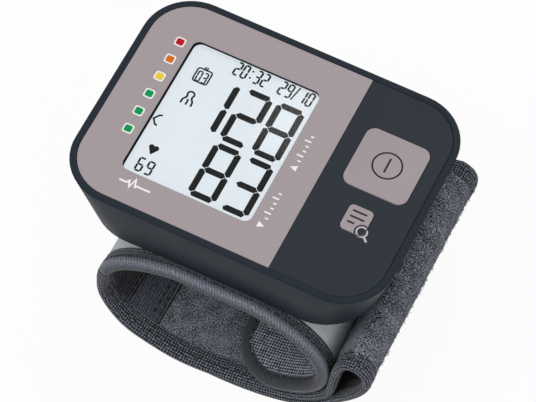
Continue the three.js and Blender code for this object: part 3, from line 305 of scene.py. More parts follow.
def moulded_plastic(name, colour, roughness, grain=0.25, depth=0.12, ior=ABS_IOR, shine=0.5):
    """Injection-moulded plastic with a grain of the given size in millimetres."""
    material, add = start_nodes(name)
    place = solid_millimetres(add)
    fine = {"Vector": place, "Scale": 1 / grain, "Detail": 3.0, "Roughness": 0.6}
    grains = add("TexNoise", fine)
    flow = add("TexNoise", {"Vector": place, "Scale": 1 / FLOW_SIZE, "Detail": 2.0})
    limits = [roughness - FLOW_CHANGE, roughness + FLOW_CHANGE]
    rough = add("MapRange", [flow, 0.3, 0.7, *limits])
    bump = add("Bump", {"Height": grains, "Strength": depth, "Distance": grain * MM})
    tint = tinted(add, colour, grains, 0.92, 1.06, 0.3, 0.7)
    principled(add, tint, rough, IOR=ior, Specular_IOR_Level=shine, Normal=bump)
    return material


finishes = {
    "housing_plastic": moulded_plastic("spark_eroded_abs_slate", "#252c35", 0.5, shine=0.1),
    "panel_plastic": moulded_plastic("satin_abs_slate", "#2c3239", 0.45, depth=0.05, shine=0.11),
    "key_plastic": moulded_plastic("painted_abs_mauve", "#a1969a", 0.5, depth=0.04, shine=0.3),
    "holder_plastic": moulded_plastic("white_abs_reflector", "#ecebe6", 0.5),
    "switch_plastic": moulded_plastic("glass_filled_nylon_black", "#1b1b1d", 0.55, ior=1.54),
    "plunger_plastic": moulded_plastic("acetal_ivory", "#d8d2c4", 0.42, ior=1.48),
    "chip_plastic": moulded_plastic("moulded_epoxy_black", "#16171a", 0.6, ior=1.56),
    "sensor_plastic": moulded_plastic("liquid_crystal_polymer_pale", "#dcdad2", 0.5),
    "pump_plastic": moulded_plastic("natural_acetal", "#e3e1da", 0.45, ior=1.48),
    "former_plastic": moulded_plastic("polypropylene_sheet", "#c9ccd0", 0.4, ior=1.49),
}
print("moulded plastics:", len(finishes))

# %% [markdown]
# ## Printed film, window and display
# The label is a polyester film printed on its back, with a very fine satin texture. The window
# is clear acrylic: most light goes straight through and a little is mirrored, more at a low
# angle, so it is a mix by Fresnel, made weaker because the window has a coating against glare.
# The display is a liquid crystal cell, pale and slightly blue. Its back film has a faint sparkle,
# and the cell carries a painted glow, light painted into it so that the reading stays bright in
# the shadow of the frame.

# %% Film, window and display
COATING_SHARE = 0.3
SMEAR_SIZE = 9
SHADE_SIZE = 30
# strength of the glow painted into the display cell
PAINTED_GLOW = 0.74


def printed_film():
    material, add = start_nodes("printed_polyester_film_mauve")
    speckle = add("TexNoise", {"Vector": solid_millimetres(add), "Scale": 5.0, "Detail": 4.0})
    colour = ramp(add, speckle, [(0.3, "#9e9396"), (0.7, "#a59a9d")])
    bump = add("Bump", {"Height": speckle, "Strength": 0.06, "Distance": 0.1 * MM})
    principled(add, colour, 0.48, IOR=1.57, Specular_IOR_Level=0.3, Normal=bump)
    return material


def clear_acrylic():
    material, add = start_nodes("cast_acrylic_clear")
    facing = add("Fresnel", {"IOR": 1.49})
    coated = add("Math", [facing, COATING_SHARE], operation="MULTIPLY")
    place = solid_millimetres(add)
    smear = add("TexNoise", {"Vector": place, "Scale": 1 / SMEAR_SIZE, "Detail": 3.0})
    polish = add("MapRange", [smear, 0.0, 1.0, 0.03, 0.09])
    through = add("BsdfTransparent", {"Color": linear("#fbfcfc")})
    mirror = add("BsdfGlossy", {"Color": WHITE, "Roughness": polish})
    add("OutputMaterial", [add("MixShader", [coated, through, mirror])])
    return material


def display_cell():
    material, add = start_nodes("liquid_crystal_cell_painted_glow")
    place = solid_millimetres(add)
    sparkle = add("TexNoise", {"Vector": place, "Scale": 4.0, "Detail": 3.0})
    shade = add("TexNoise", {"Vector": place, "Scale": 1 / SHADE_SIZE, "Detail": 1.0})
    both = add("Mix", {"Factor": 0.6, "A": sparkle, "B": shade})
    colour = ramp(add, both, [(0.35, "#7d8286"), (0.65, "#868b90")])
    # painted glow: the cell emits light that stands in for the light falling on it; it is no lamp
    glow = {"Emission_Color": linear("#e9eff5"), "Emission_Strength": PAINTED_GLOW}
    principled(add, colour, 0.35, IOR=1.52, **glow)
    return material


finishes["label_film"] = printed_film()
finishes["clear_window"] = clear_acrylic()
finishes["display_glass"] = display_cell()
print("finishes so far:", len(finishes))

# %% [markdown]
# ## Parts inside
# Nobody sees these until the device is opened, but they get their own finish as well: rolled
# steel with fine lines, enamelled copper wire, a fibreglass board under green lacquer, shrink
# sleeve on the cells and rubber. Striped rubber carries the signals to the display.

# %% Parts inside


def rolled_steel():
    material, add = start_nodes("nickel_plated_steel_rolled")
    pull = [solid_millimetres(add), (0.5, 9.0, 9.0)]
    stretched = add("VectorMath", pull, operation="MULTIPLY")
    lines = add("TexNoise", {"Vector": stretched, "Scale": 1.0, "Detail": 4.0})
    rough = add("MapRange", [lines, 0.0, 1.0, 0.22, 0.42])
    principled(add, linear("#c4c3bf"), rough, Metallic=1.0)
    return material


def striped(name, pitch, axis, stops, roughness, metallic=0.0):
    """Fine stripes in two colours, square to an axis of the device: wire or rubber layers."""
    material, add = start_nodes(name)
    split = add("SeparateXYZ", [solid_millimetres(add)])
    share = add("MapRange", [sine_wave(add, split.outputs[axis], pitch), -1.0])
    bump = add("Bump", {"Height": share, "Strength": 0.5, "Distance": 0.1 * MM})
    principled(add, ramp(add, share, stops), roughness, Metallic=metallic, Normal=bump)
    return material


def lacquered_board():
    material, add = start_nodes("fibreglass_under_green_lacquer")
    pattern = {"distance": "MANHATTAN", "feature": "DISTANCE_TO_EDGE"}
    tracks = add("TexVoronoi", {"Vector": solid_millimetres(add), "Scale": 0.45}, **pattern)
    colour = ramp(add, tracks, [(0.02, "#2c7a50"), (0.07, "#1c5536")])
    bump = add("Bump", {"Height": tracks, "Strength": 0.1, "Distance": 0.05 * MM})
    principled(add, colour, 0.34, Normal=bump)
    return material


wire_stops = [(0.1, "#5c2413"), (0.9, "#b5633a")]
layer_stops = [(0.45, "#c98a6b"), (0.55, "#2b2826")]
can_stops = [(0.48, "#2f4f7a"), (0.52, "#c9ced6")]
finishes["steel"] = rolled_steel()
finishes["coil_wire"] = striped("enamelled_copper_wire", 0.5, 0, wire_stops, 0.32, 0.6)
finishes["connector_rubber"] = striped("layered_silicone_rubber", 0.6, 0, layer_stops, 0.6)
finishes["cell_can"] = striped("shrink_sleeve_blue", 26.0, 1, can_stops, 0.3)
finishes["board"] = lacquered_board()
for finish_name, name, colour, roughness in (
    ("sleeve_rubber", "nitrile_rubber_black", "#26272a", 0.75),
    ("tube_rubber", "silicone_tube_milky", "#d6d9d9", 0.4),
    ("bladder_film", "polyurethane_film_grey", "#a0a5aa", 0.35),
):
    finishes[finish_name] = speckled(name, colour, roughness, 2.2, 5.0, (0.8, 1.2), IOR=1.45)
print("finishes so far:", len(finishes))

# %% [markdown]
# ## Rigid pieces
# The frame's rigid pieces have the right shape and stay. Their edges get the small radius that a
# moulding tool leaves, and their round corners are shaded smooth. Both are modifiers, so the
# meshes of the frame stay as they are.

# %% Dress the rigid pieces
EDGE_RADIUS = 0.12
EDGE_ANGLE = math.radians(40)
SMOOTH_ANGLE = math.radians(38)
WELD = 0.002
ROUNDED = [
    "housing_shell", "battery_door", "start_stop_button", "memory_button", "cuff_mount_plate",
]


def smoothing_group(name, weld):
    """Geometry nodes that weld a mesh or shade it smooth up to an angle."""
    tree = bpy.data.node_groups.new(name, "GeometryNodeTree")
    for way in ("INPUT", "OUTPUT"):
        tree.interface.new_socket("Geometry", in_out=way, socket_type="NodeSocketGeometry")
    add = partial(add_node, tree)
    mesh = add("NodeGroupInput")
    if weld:
        mesh = add("GeometryNodeMergeByDistance", {"Geometry": mesh, "Distance": WELD * MM})
    else:
        angle = add("GeometryNodeInputMeshEdgeAngle").outputs["Unsigned Angle"]
        small = add("FunctionNodeCompare", [angle, SMOOTH_ANGLE], operation="LESS_THAN")
        for domain, smooth in (("FACE", True), ("EDGE", small)):
            shade = {0: mesh, "Shade Smooth": smooth}
            mesh = add("GeometryNodeSetShadeSmooth", shade, domain=domain)
    add("NodeGroupOutput", [mesh])
    return tree


weld_group = smoothing_group("weld_seams", True)
smooth_group = smoothing_group("smooth_shading", False)


def dress(piece, rounded):
    """Adds the modifiers that round and smooth a rigid piece."""
    piece.modifiers.new("weld", "NODES").node_group = weld_group
    if rounded:
        bevel = piece.modifiers.new("edge_radius", "BEVEL")
        bevel.width = EDGE_RADIUS * MM
        bevel.segments = 2
        bevel.limit_method = "ANGLE"
        bevel.angle_limit = EDGE_ANGLE
    piece.modifiers.new("smooth", "NODES").node_group = smooth_group


node_slots = {part["node"]: part["material_slot"] for part in frame["record"]["subparts"]}
for node_name, cad_node in frame["nodes"].items():
    finish = finishes.get(node_slots[node_name])
    if finish is None:
        continue
    if not cad_node.material_slots:
        cad_node.data.materials.append(finish)
    for material_slot in cad_node.material_slots:
        material_slot.material = finish
    dress(cad_node, node_name in ROUNDED)
print("nodes in the frame:", len(frame["nodes"]))

# %% [markdown]
# ## Ink
# The marks on the face and the segments of the display are thin layers of ink: flat shapes a few
# hundredths of a millimetre thick. They are built as real thin meshes, so they stay crisp in
# close views. A closed outline in millimetres becomes a plate at a depth below the face.

# %% Ink helpers
INK = 0.03
INK_SHINE = 0.12


def ink_finish(name, colour, roughness=0.6):
    tones = (0.92, 1.05)
    return speckled(name, colour, roughness, 6.0, 2.0, tones, Specular_IOR_Level=INK_SHINE)


def outline(points):
    """A filled mark: its points and its one face."""
    return points, [list(range(len(points)))]


def stroke(points, width, closed=False):
    """A pen line of one width: points on both sides of it and a face for each stretch."""
    count = len(points)
    left, right = [], []
    for k, (x, y) in enumerate(points):
        x0, y0 = points[(k - 1) % count if closed else max(k - 1, 0)]
        x1, y1 = points[(k + 1) % count if closed else min(k + 1, count - 1)]
        into = math.atan2(y - y0, x - x0) if (x, y) != (x0, y0) else math.atan2(y1 - y, x1 - x)
        out = math.atan2(y1 - y, x1 - x) if (x, y) != (x1, y1) else into
        turn = math.remainder(out - into, 2 * math.pi)
        heading = into + turn / 2
        reach = width / 2 / max(math.cos(turn / 2), 0.4)
        left.append((x - reach * math.sin(heading), y + reach * math.cos(heading)))
        right.append((x + reach * math.sin(heading), y - reach * math.cos(heading)))
    pairs = [(k, (k + 1) % count) for k in range(count if closed else count - 1)]
    return left + right, [[count + k, count + after, after, k] for k, after in pairs]


def print_marks(name, marks, material, depth, body, slot_name):
    """One piece of ink: each mark is a thin plate that lies on a surface at a depth."""
    points, faces = [], []
    for flat_points, flat_faces in marks:
        count = len(flat_points)
        first = len(points)
        for height in (depth, depth - INK):
            points += [on_face(x, y, height) for x, y in flat_points]
        edges = set()
        for face in flat_faces:
            faces.append([first + k for k in reversed(face)])
            faces.append([first + count + k for k in face])
            edges |= set(zip(face, face[1:] + face[:1]))
        for a, b in sorted(edges):
            if (b, a) not in edges:
                faces.append([first + a, first + b, first + count + b, first + count + a])
    mesh = bpy.data.meshes.new(name)
    mesh.from_pydata(points, [], faces)
    mesh.materials.append(material)
    piece = put(name, mesh)
    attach(piece, body)


def arc(x, y, radius, start, end, steps):
    """Points on an arc, with its angles in degrees."""
    angles = [math.radians(start + (end - start) * k / steps) for k in range(steps + 1)]
    return [(x + radius * math.cos(a), y + radius * math.sin(a)) for a in angles]


def ring_points(x, y, radius, steps=36):
    """Points all round a circle."""
    return arc(x, y, radius, 0, 360, steps)[:-1]


def rounded_box(x, y, half_width, half_height, corner):
    """The outline of a rounded rectangle."""
    points = []
    for turn, (side_x, side_y) in enumerate([(1, 1), (-1, 1), (-1, -1), (1, -1)]):
        middle_x = x + side_x * (half_width - corner)
        middle_y = y + side_y * (half_height - corner)
        points += arc(middle_x, middle_y, corner, 90 * turn, 90 * turn + 90, 6)
    return points


# %% [markdown]
# ## Reading on the display
# Each digit has seven segments with pointed ends, and a small gap where two of them meet. The
# segments lie in the glass just under the window. Every digit is given by its left and right
# centre lines and by its upper and lower ones.

# %% Seven segments
SEGMENTS = {
    "0": "abcdef", "1": "bc", "2": "abged", "3": "abgcd", "6": "acdefg", "8": "abcdefg",
    "9": "abcdfg",
}
# the corners at a segment's ends, and its outer side: 1 left of its run, -1 right of it
PATHS = {
    "a": ("left top", "right top", 1), "b": ("right top", "right middle", 1),
    "c": ("right middle", "right bottom", 1), "d": ("left bottom", "right bottom", -1),
    "e": ("left middle", "left bottom", -1), "f": ("left top", "left middle", -1),
    "g": ("left middle", "right middle", 0),
}
OUTER_TIP = 0.5


def bar_between(start, end, thickness, gap, outer):
    """A segment with pointed ends between two corners of a digit, blunter on its outer side."""
    (x0, y0), (x1, y1) = start, end
    length = math.hypot(x1 - x0, y1 - y0)
    along_x, along_y = (x1 - x0) / length, (y1 - y0) / length
    half = thickness / 2
    lower, upper = (gap + half * (OUTER_TIP if outer == side else 1) for side in (-1, 1))
    return outline([
        (x0 + along * along_x - across * along_y, y0 + along * along_y + across * along_x)
        for along, across in [
            (gap, 0), (lower, -half), (length - lower, -half),
            (length - gap, 0), (length - upper, half), (upper, half),
        ]
    ])


def digit_outlines(digit, left, right, top, bottom, thickness, gap, lean=0.0):
    """The lit segments of one digit. The lean moves its top to the right, in millimetres."""
    spots = {"left": left, "right": right, "top": top, "bottom": bottom}
    spots["middle"] = (top + bottom) / 2

    def corner(place):
        x, y = (spots[word] for word in place.split())
        return (x + lean * (y - bottom) / (top - bottom), y)

    bars = []
    for name in SEGMENTS[digit]:
        start, end, outer = PATHS[name]
        bars.append(bar_between(corner(start), corner(end), thickness, gap, outer))
    return bars


THIN_LINE = 0.4
BIG = (1.62, 0.1)
SMALL = (0.5, 0.04)
ROWS = {"upper": (13.25, -1.3), "lower": (-3.85, -18.35)}
COLUMNS = {"first": (-19.9, -13.85), "second": (-11.02, -5.17), "third": (-2.5, 3.38)}
TIME_ROW = (19.65, 15.92)
TIME_DIGITS = [
    ("2", -16.8), ("0", -14.85), ("3", -11.45), ("2", -9.5), ("2", -4.8), ("9", -2.85),
    ("1", 0.65), ("0", 2.62),
]
TIME_WIDTH = 1.2
TIME_LEAN = 0.2
PULSE_ROW = (-15.22, -18.85)
PULSE_WIDTH = 1.42
DOT_RADIUS = 0.28

reading = []
for digit, column, row in [
    ("1", "first", "upper"), ("2", "second", "upper"), ("8", "third", "upper"),
    ("8", "second", "lower"), ("3", "third", "lower"),
]:
    reading += digit_outlines(digit, *COLUMNS[column], *ROWS[row], *BIG)
for digit, left in TIME_DIGITS:
    reading += digit_outlines(digit, left, left + TIME_WIDTH, *TIME_ROW, *SMALL, TIME_LEAN)
for digit, left in [("6", -25.68), ("9", -23.2)]:
    reading += digit_outlines(digit, left, left + PULSE_WIDTH, *PULSE_ROW, *SMALL)
for dot_y in (16.8, 18.75):
    reading.append(outline(ring_points(-12.46, dot_y, DOT_RADIUS, 8)))
reading.append(stroke([(-1.0, 15.7), (-0.15, 19.85)], THIN_LINE))
print("marks in the reading:", len(reading))

# %% [markdown]
# ## Signs on the display
# Small line drawings: a memory slot number in a clock frame, a user, the pointer of the risk
# scale and a heart. They are common signs, drawn with a pen line of constant width.

# %% Signs on the display
PEN_LINE = 0.48
SLOT_WIDTH = 0.98
SLOT_ROW = (13.05, 10.15)
SLOT_GAP = 0.02
head = arc(-23.0, 5.95, 0.86, -40, 220, 12)[::-1]
user = [(-24.35, 2.8), (-24.3, 4.0), (-23.7, 4.9), *head, (-22.3, 4.9), (-21.7, 4.0), (-21.62, 2.8)]
heart = arc(-23.55, -11.45, 0.7, -50, 170, 10) + arc(-24.75, -11.45, 0.7, 10, 230, 10)
signs = [
    stroke(rounded_box(-22.88, 11.9, 1.9, 1.98, 0.6), THIN_LINE, closed=True),
    stroke([(-23.17, 14.7), (-23.17, 13.6)], THIN_LINE),
    stroke([(-22.6, 14.7), (-22.6, 13.6)], THIN_LINE),
    stroke(user, PEN_LINE),
    stroke([(-23.25, 4.45), (-22.96, 4.2), (-22.96, 2.8)], PEN_LINE),
    stroke([(-26.4, -2.4), (-27.1, -2.75), (-28.0, -4.1), (-27.1, -5.4), (-26.4, -5.6)], PEN_LINE),
    outline([*heart, (-24.3, -13.4), (-24.0, -13.4)]),
]
for digit, left in [("0", -24.15), ("3", -22.62)]:
    signs += digit_outlines(digit, left, left + SLOT_WIDTH, *SLOT_ROW, THIN_LINE, SLOT_GAP)

ink_black = ink_finish("liquid_crystal_dark", "#0a0b0d")
display = (top_depth("lcd_panel"), "housing", "display_glass")
print_marks("display_reading", reading + signs, ink_black, *display)

# %% [markdown]
# ## Painted shade round the display
# A thin dark ring lies on the edge of the display. It is painted shade that stands for the shadow
# in the window's recess: seen from the lower right, it shows under the upper and the left edge of
# the window as a dark line.

# %% Painted shade round the display
SHADE_RING_WIDTH = 1.2
# a dark ring of painted shade that stands for the shadow in the window's recess
recess_shade_ink = ink_finish("painted_recess_shade", "#1b171b", 0.9)
shade_ring_middle = rounded_box(-11.475, -0.19, 17.575, 20.91, 2.6)
shade_ring = stroke(shade_ring_middle, SHADE_RING_WIDTH, closed=True)
print_marks("display_recess_shade", [shade_ring], recess_shade_ink, *display)
print("middle of the display (mm):", [round(value, 2) for value in middle_of("lcd_panel")])

# %% [markdown]
# ## Marks on the label
# Six rounded squares with a white rim stand left of the window: red, orange, yellow and three
# greens, the usual risk scale. Beside the digits stand plain marks: a triangle up and a triangle
# down, each with a row of ticks. A pulse line stands below.

# %% Marks on the label
SCALE_X = -31.75
SCALE_TOP = 17.45
SCALE_PITCH = 5.53
SCALE_COLOURS = [
    ("red", "#bb0c22"), ("orange", "#da6c12"), ("yellow", "#e7cb42"), *[("green", "#0a9455")] * 3,
]
SQUARE_HALF = 1.3
SQUARE_RIM = 0.36
SQUARE_CORNER = 0.6
MARK_X = 8.25
MARK_HALF = 0.85
TICK_HEIGHT_SHARES = (0.5, 1.0, 0.5, 0.5, 1.0, 0.5)
TICK_START = 2.2
TICK_PITCH = 1.5
label_top = top_depth("face_label")
on_label = ("housing", "label_film")

white_marks = []
inner = SQUARE_HALF - SQUARE_RIM
for step, (colour_name, colour) in enumerate(SCALE_COLOURS):
    square_y = SCALE_TOP - SCALE_PITCH * step
    rim = rounded_box(SCALE_X, square_y, SQUARE_HALF, SQUARE_HALF, SQUARE_CORNER)
    white_marks.append(outline(rim))
    square = rounded_box(SCALE_X, square_y, inner, inner, SQUARE_CORNER - SQUARE_RIM / 2)
    ink = ink_finish(f"screen_print_{colour_name}_{step + 1}", colour)
    print_marks(f"risk_mark_{step + 1}", [outline(square)], ink, label_top - INK, *on_label)
for first, up in [(-1.9, True), (-19.6, False)]:
    tip = MARK_HALF if up else -MARK_HALF
    corners = [(-tip, 0), (tip, -MARK_HALF), (tip, MARK_HALF)][::1 if up else -1]
    white_marks.append(outline([(MARK_X + x, first + y) for x, y in corners]))
    for k, share in enumerate(TICK_HEIGHT_SHARES):
        tick_y = first + TICK_START + TICK_PITCH * k
        ends = (MARK_X + MARK_HALF, MARK_X + MARK_HALF - 2 * MARK_HALF * share)
        white_marks.append(stroke([(x, tick_y) for x in ends], THIN_LINE))
pulse = [
    (-27.2, -23.6), (-25.3, -23.6), (-24.8, -22.9), (-24.2, -24.5), (-23.5, -22.0),
    (-22.9, -24.0), (-22.5, -23.6), (-19.0, -23.6),
]
white_marks.append(stroke(pulse, PEN_LINE))
ink_white = ink_finish("screen_print_white", "#f1f0ee")
print_marks("label_marks", white_marks, ink_white, label_top, *on_label)
print("plates of white print:", len(white_marks))

# %% [markdown]
# ## Signs on the keys
# The large key carries the common on and off sign: a ring with a bar. The memory key shows a
# page with three lines. Its magnifying glass lies across the key's corner. It is cut along the
# key's edges: the part on the key moves with the key, and the rest is printed on the panel.

# %% Signs on the keys
RING_LINE = 0.42
HANDLE_LINE = 0.55
START_RING = 3.62
LINE_PITCH = 1.65
GLASS_X = 30.3
GLASS_Y = -10.5
GLASS_RADIUS = 1.3
HALO = 0.65
KEY_CORNER = 1.2
KEY_MARGIN = 0.03
PANEL_MARGIN = 0.24
ink_grey = ink_finish("screen_print_slate", "#2b2a2e")
ink_panel = ink_finish("screen_print_panel_grey", "#2c3239")
ink_mauve = ink_finish("screen_print_mauve", "#c2b8bb")
key_top = top_depth("start_stop_button")
panel_top = top_depth("face_panel")
on_memory_key = ("memory_key", "key_plastic")

x, y = (value + 0.1 for value in middle_of("start_stop_button"))
start_sign = [
    stroke(ring_points(x, y, START_RING, 48), RING_LINE, closed=True),
    stroke([(x, y - 2.0), (x, y + 2.2)], PEN_LINE),
]
print_marks("start_sign", start_sign, ink_grey, key_top, "start_stop_key", "key_plastic")
x, y = middle_of("memory_button")
page_lines = []
for row, reach in enumerate((1.75, 1.75, -0.1)):
    line_y = y + 2.05 - LINE_PITCH * row
    page_lines.append(stroke([(x - 1.95, line_y), (x + reach, line_y)], PEN_LINE))
print_marks("memory_lines", page_lines, ink_grey, key_top, *on_memory_key)

memory_node = frame["nodes"]["memory_button"]
key_points = [memory_node.matrix_world @ vertex.co for vertex in memory_node.data.vertices]
memory_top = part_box("memory_button")[1].z
top_points = [point for point in key_points if point.z > memory_top - 0.01 * MM]
key_right = (max(point.x for point in top_points) - face_origin.x) / MM
key_bottom = (min(point.y for point in top_points) - face_origin.y) / MM
print("memory key's corner at (mm):", round(key_right, 2), round(key_bottom, 2))


def cut_marks(marks, degrees, margin, sign):
    """The parts of marks on one side of a line that touches the key's lower right corner.

    The line is square to a direction in degrees. Sign 1 keeps the side beyond it, -1 the key's.
    """
    normal = (math.cos(math.radians(degrees)), math.sin(math.radians(degrees)))
    middle = (key_right - KEY_CORNER, key_bottom + KEY_CORNER)
    limit = normal[0] * middle[0] + normal[1] * middle[1] + KEY_CORNER + margin
    kept = []
    for points, faces in marks:
        for face in faces:
            corners = [points[k] for k in face]
            shape = []
            for a, b in zip(corners, corners[1:] + corners[:1]):
                a_in, b_in = (sign * (normal[0] * x + normal[1] * y - limit) for x, y in (a, b))
                if a_in >= 0:
                    shape.append(a)
                if a_in * b_in < 0:
                    share = a_in / (a_in - b_in)
                    shape.append(tuple(p + (q - p) * share for p, q in zip(a, b)))
            if len(shape) > 2:
                kept.append(outline(shape))
    return kept


halo = [outline(ring_points(GLASS_X, GLASS_Y, GLASS_RADIUS + HALO))]
handle = [(GLASS_X + 1.05, GLASS_Y - 1.0), (GLASS_X + 2.05, GLASS_Y - 2.0)]
glass = [
    stroke(ring_points(GLASS_X, GLASS_Y, GLASS_RADIUS), RING_LINE, closed=True),
    stroke(handle, HANDLE_LINE),
]
for name, marks, lift, ink in (("halo", halo, 0.0, ink_panel), ("lens", glass, INK, ink_mauve)):
    for degrees in (0, -22.5, -45, -67.5, -90):
        marks = cut_marks(marks, degrees, -KEY_MARGIN, -1)
    print_marks(f"memory_{name}_on_key", marks, ink, key_top - lift, *on_memory_key)
beside_key = cut_marks(glass, -45, PANEL_MARGIN, 1)
rest = cut_marks(glass, -45, PANEL_MARGIN, -1)
beside_key += cut_marks(rest, 0, PANEL_MARGIN, 1) + cut_marks(rest, -90, PANEL_MARGIN, 1)
on_panel = (panel_top, "housing", "panel_plastic")
print_marks("memory_lens_on_panel", beside_key, ink_mauve, *on_panel)
print("key top and panel top (mm below the face):", round(key_top, 2), round(panel_top, 2))

# %% [markdown]
# ## The band
# The cuff and its strap are one long band that winds as a spiral: from the tip of the tongue
# inside, up the right side, over the top under the housing, down the left side and below the
# wrist, up the right side again to a fold, and back on its outside. Every piece of cloth lies
# along this one line, so the line is made once, as points in millimetres with their lengths.

# %% The line of the band
RING_X = 2.6
RING_DEPTH = 38.2
RING_HALF_WIDTH = 32.05
RING_HALF_HEIGHT = 21.1
RING_PITCH = 3.3
RING_POWER = 2.1
TONGUE_TURN = -0.236
JOINT_TURN = 0.5
RETURN_TURN = 0.937
LEAVE_TURN = 0.957
TAIL_TURN = 0.652
FLAP_OUTSET = 0.3
FOLD_POINTS = [
    (36.7, 30.5), (38.9, 27.0), (41.5, 27.9), (42.5, 31.6), (41.2, 36.3), (38.5, 41.2),
]
FOLD_STEPS = 6
LINE_STEP = 0.8
ring_top = top_depth("cuff_cover")


def spiral(turn, outset=0.0):
    """The outer face of the band, as x and height in millimetres from the middle of the face."""
    growth = RING_PITCH * (turn - JOINT_TURN) + outset
    angle = 2 * math.pi * turn
    wide, high = (
        math.copysign(abs(share) ** (2 / RING_POWER), share)
        for share in (math.cos(angle), math.sin(angle))
    )
    x = RING_X + (RING_HALF_WIDTH + growth) * wide
    z = -RING_DEPTH + (RING_HALF_HEIGHT + growth) * high
    return np.array((x, min(z, -ring_top)))


def spiral_run(start, end, outset=0.0):
    count = math.ceil(2 * math.pi * RING_HALF_WIDTH * abs(end - start) / LINE_STEP)
    return [spiral(start + (end - start) * k / count, outset) for k in range(count + 1)]


def smooth_through(knots, steps):
    """A centripetal Catmull-Rom curve through all knots but the first and last."""
    run = []
    for four in zip(knots, knots[1:], knots[2:], knots[3:]):
        times = [0.0]
        for a, b in zip(four, four[1:]):
            times.append(times[-1] + np.linalg.norm(b - a) ** 0.5)
        for step in range(steps):
            t = times[1] + (times[2] - times[1]) * step / steps
            points = four
            for reach in (1, 2):
                points = [
                    (points[j] * (times[j + reach] - t) + points[j + 1] * (t - times[j]))
                    / (times[j + reach] - times[j])
                    for j in range(len(points) - 1)
                ]
            share = (t - times[1]) / (times[2] - times[1])
            run.append(points[0] * (1 - share) + points[1] * share)
    run.append(knots[-2])
    return run


fold_knots = [
    spiral(RETURN_TURN),
    spiral(LEAVE_TURN),
    *[np.array((x, -depth)) for x, depth in FOLD_POINTS],
    spiral(RETURN_TURN, FLAP_OUTSET),
    spiral(RETURN_TURN - 0.02, FLAP_OUTSET),
]
line = spiral_run(TONGUE_TURN, LEAVE_TURN)
line += smooth_through(fold_knots, FOLD_STEPS)[1:]
line += spiral_run(RETURN_TURN, TAIL_TURN, FLAP_OUTSET)[1:]
line = np.array(line)


def run_along(points):
    """The length run so far at each point of a path."""
    return np.concatenate(([0.0], np.cumsum(np.linalg.norm(np.diff(points, axis=0), axis=1))))


line_length = run_along(line)
before = line[np.maximum(np.arange(len(line)) - 1, 0)]
after = line[np.minimum(np.arange(len(line)) + 1, len(line) - 1)]
headings = (after - before) / np.linalg.norm(after - before, axis=1)[:, None]
outward = np.stack((headings[:, 1], -headings[:, 0]), axis=1)


def length_near(point, low=0.0, high=math.inf):
    """The length along the band of the line's point nearest to a place."""
    gaps = np.linalg.norm(line - np.array(point), axis=1)
    gaps[(line_length < low) | (line_length > high)] = math.inf
    return float(line_length[int(np.argmin(gaps))])


TIP = 0.0
JOINT = length_near(spiral(JOINT_TURN))
FOLD = length_near((FOLD_POINTS[1][0], -FOLD_POINTS[1][1]), low=JOINT)
TAIL = float(line_length[-1])
print("band (mm): joint at", round(JOINT, 1), "fold at", round(FOLD, 1), "tail at", round(TAIL, 1))

# %% [markdown]
# ## Cloth from a line
# A layer of cloth is a closed blanket: a grid on its outer side, a grid on its inner side, and
# a rounded rim where they meet. An end can also be square, where the next piece goes on. Small
# bumps, seams and wrinkles are added to each side as a relief in millimetres. The UV map holds
# real millimetres along and across the cloth, so every weave below can be given by its thread
# spacing. A simulation would also puff the cloth, but it can't keep a pre-shaped band on its
# line, so the relief is written in the script.

# %% Cloth helpers
CUFF_HALF = 32.7
CUFF_Y = middle_of("cuff_binding")[1]
LOWEST = (cad_bounds[0][2] - face_origin.z) / MM
FADE_START = 1.0
FADE_REACH = 4.0
SQUARE_STEP = 0.02
FAR = 1000.0
FLARE_EDGE = 10.0
FLARE_OUT = 0.8, (8.0, 8.0, 10.0)
FLARE_SIDE = 1.6, (24.0, 6.0, 28.0)
FLARE_CURVE = 1.5


def flare(length, across, most, reaches):
    """The spread of the strap's worn near edge: behind the joint it rises, holds and falls."""
    rise = np.clip((length - JOINT) / reaches[0], 0, 1)
    fall = np.clip((length - JOINT - reaches[0] - reaches[1]) / reaches[2], 0, 1)
    along = rise ** 2 * (3 - 2 * rise) * (1 - fall ** 2 * (3 - 2 * fall))
    near = np.clip((-across - FLARE_EDGE) / (CUFF_HALF - FLARE_EDGE), 0, 1)
    return most * along * near ** FLARE_CURVE


def band_points(length, across, inset):
    """World places of band coordinates, all arrays of one shape and in millimetres."""
    inset = inset - flare(length, across, *FLARE_OUT)
    x, z, out_x, out_z = (
        np.interp(length, line_length, values) for values in (*line.T, *outward.T)
    )
    size = np.hypot(out_x, out_z)
    x = x - inset * out_x / size
    z = np.maximum(z - inset * out_z / size, LOWEST)
    y = across + CUFF_Y - flare(length, across, *FLARE_SIDE)
    return np.stack((x, y, z), axis=-1) * MM + np.array(face_origin)


def noise_field(length, across, scale, seed):
    """Smooth noise between about -1 and 1 over the cloth, with features of one scale."""
    pairs = zip(np.ravel(length), np.ravel(across))
    flat = [noise.noise((a / scale, b / scale, seed)) for a, b in pairs]
    return np.reshape(flat, np.shape(length))


def mesh_piece(name, vertices, faces, loop_uvs, material):
    """A closed mesh object with outward faces, smooth shading and a UV map in millimetres."""
    mesh = bpy.data.meshes.new(name)
    mesh.from_pydata([tuple(v) for v in vertices], [], faces)
    if loop_uvs is not None:
        mesh.uv_layers.new(name="cloth").data.foreach_set("uv", np.ravel(loop_uvs))
    work = bmesh.new()
    work.from_mesh(mesh)
    bmesh.ops.recalc_face_normals(work, faces=work.faces)
    work.to_mesh(mesh)
    work.free()
    mesh.materials.append(material)
    mesh.shade_smooth()
    return put(name, mesh)


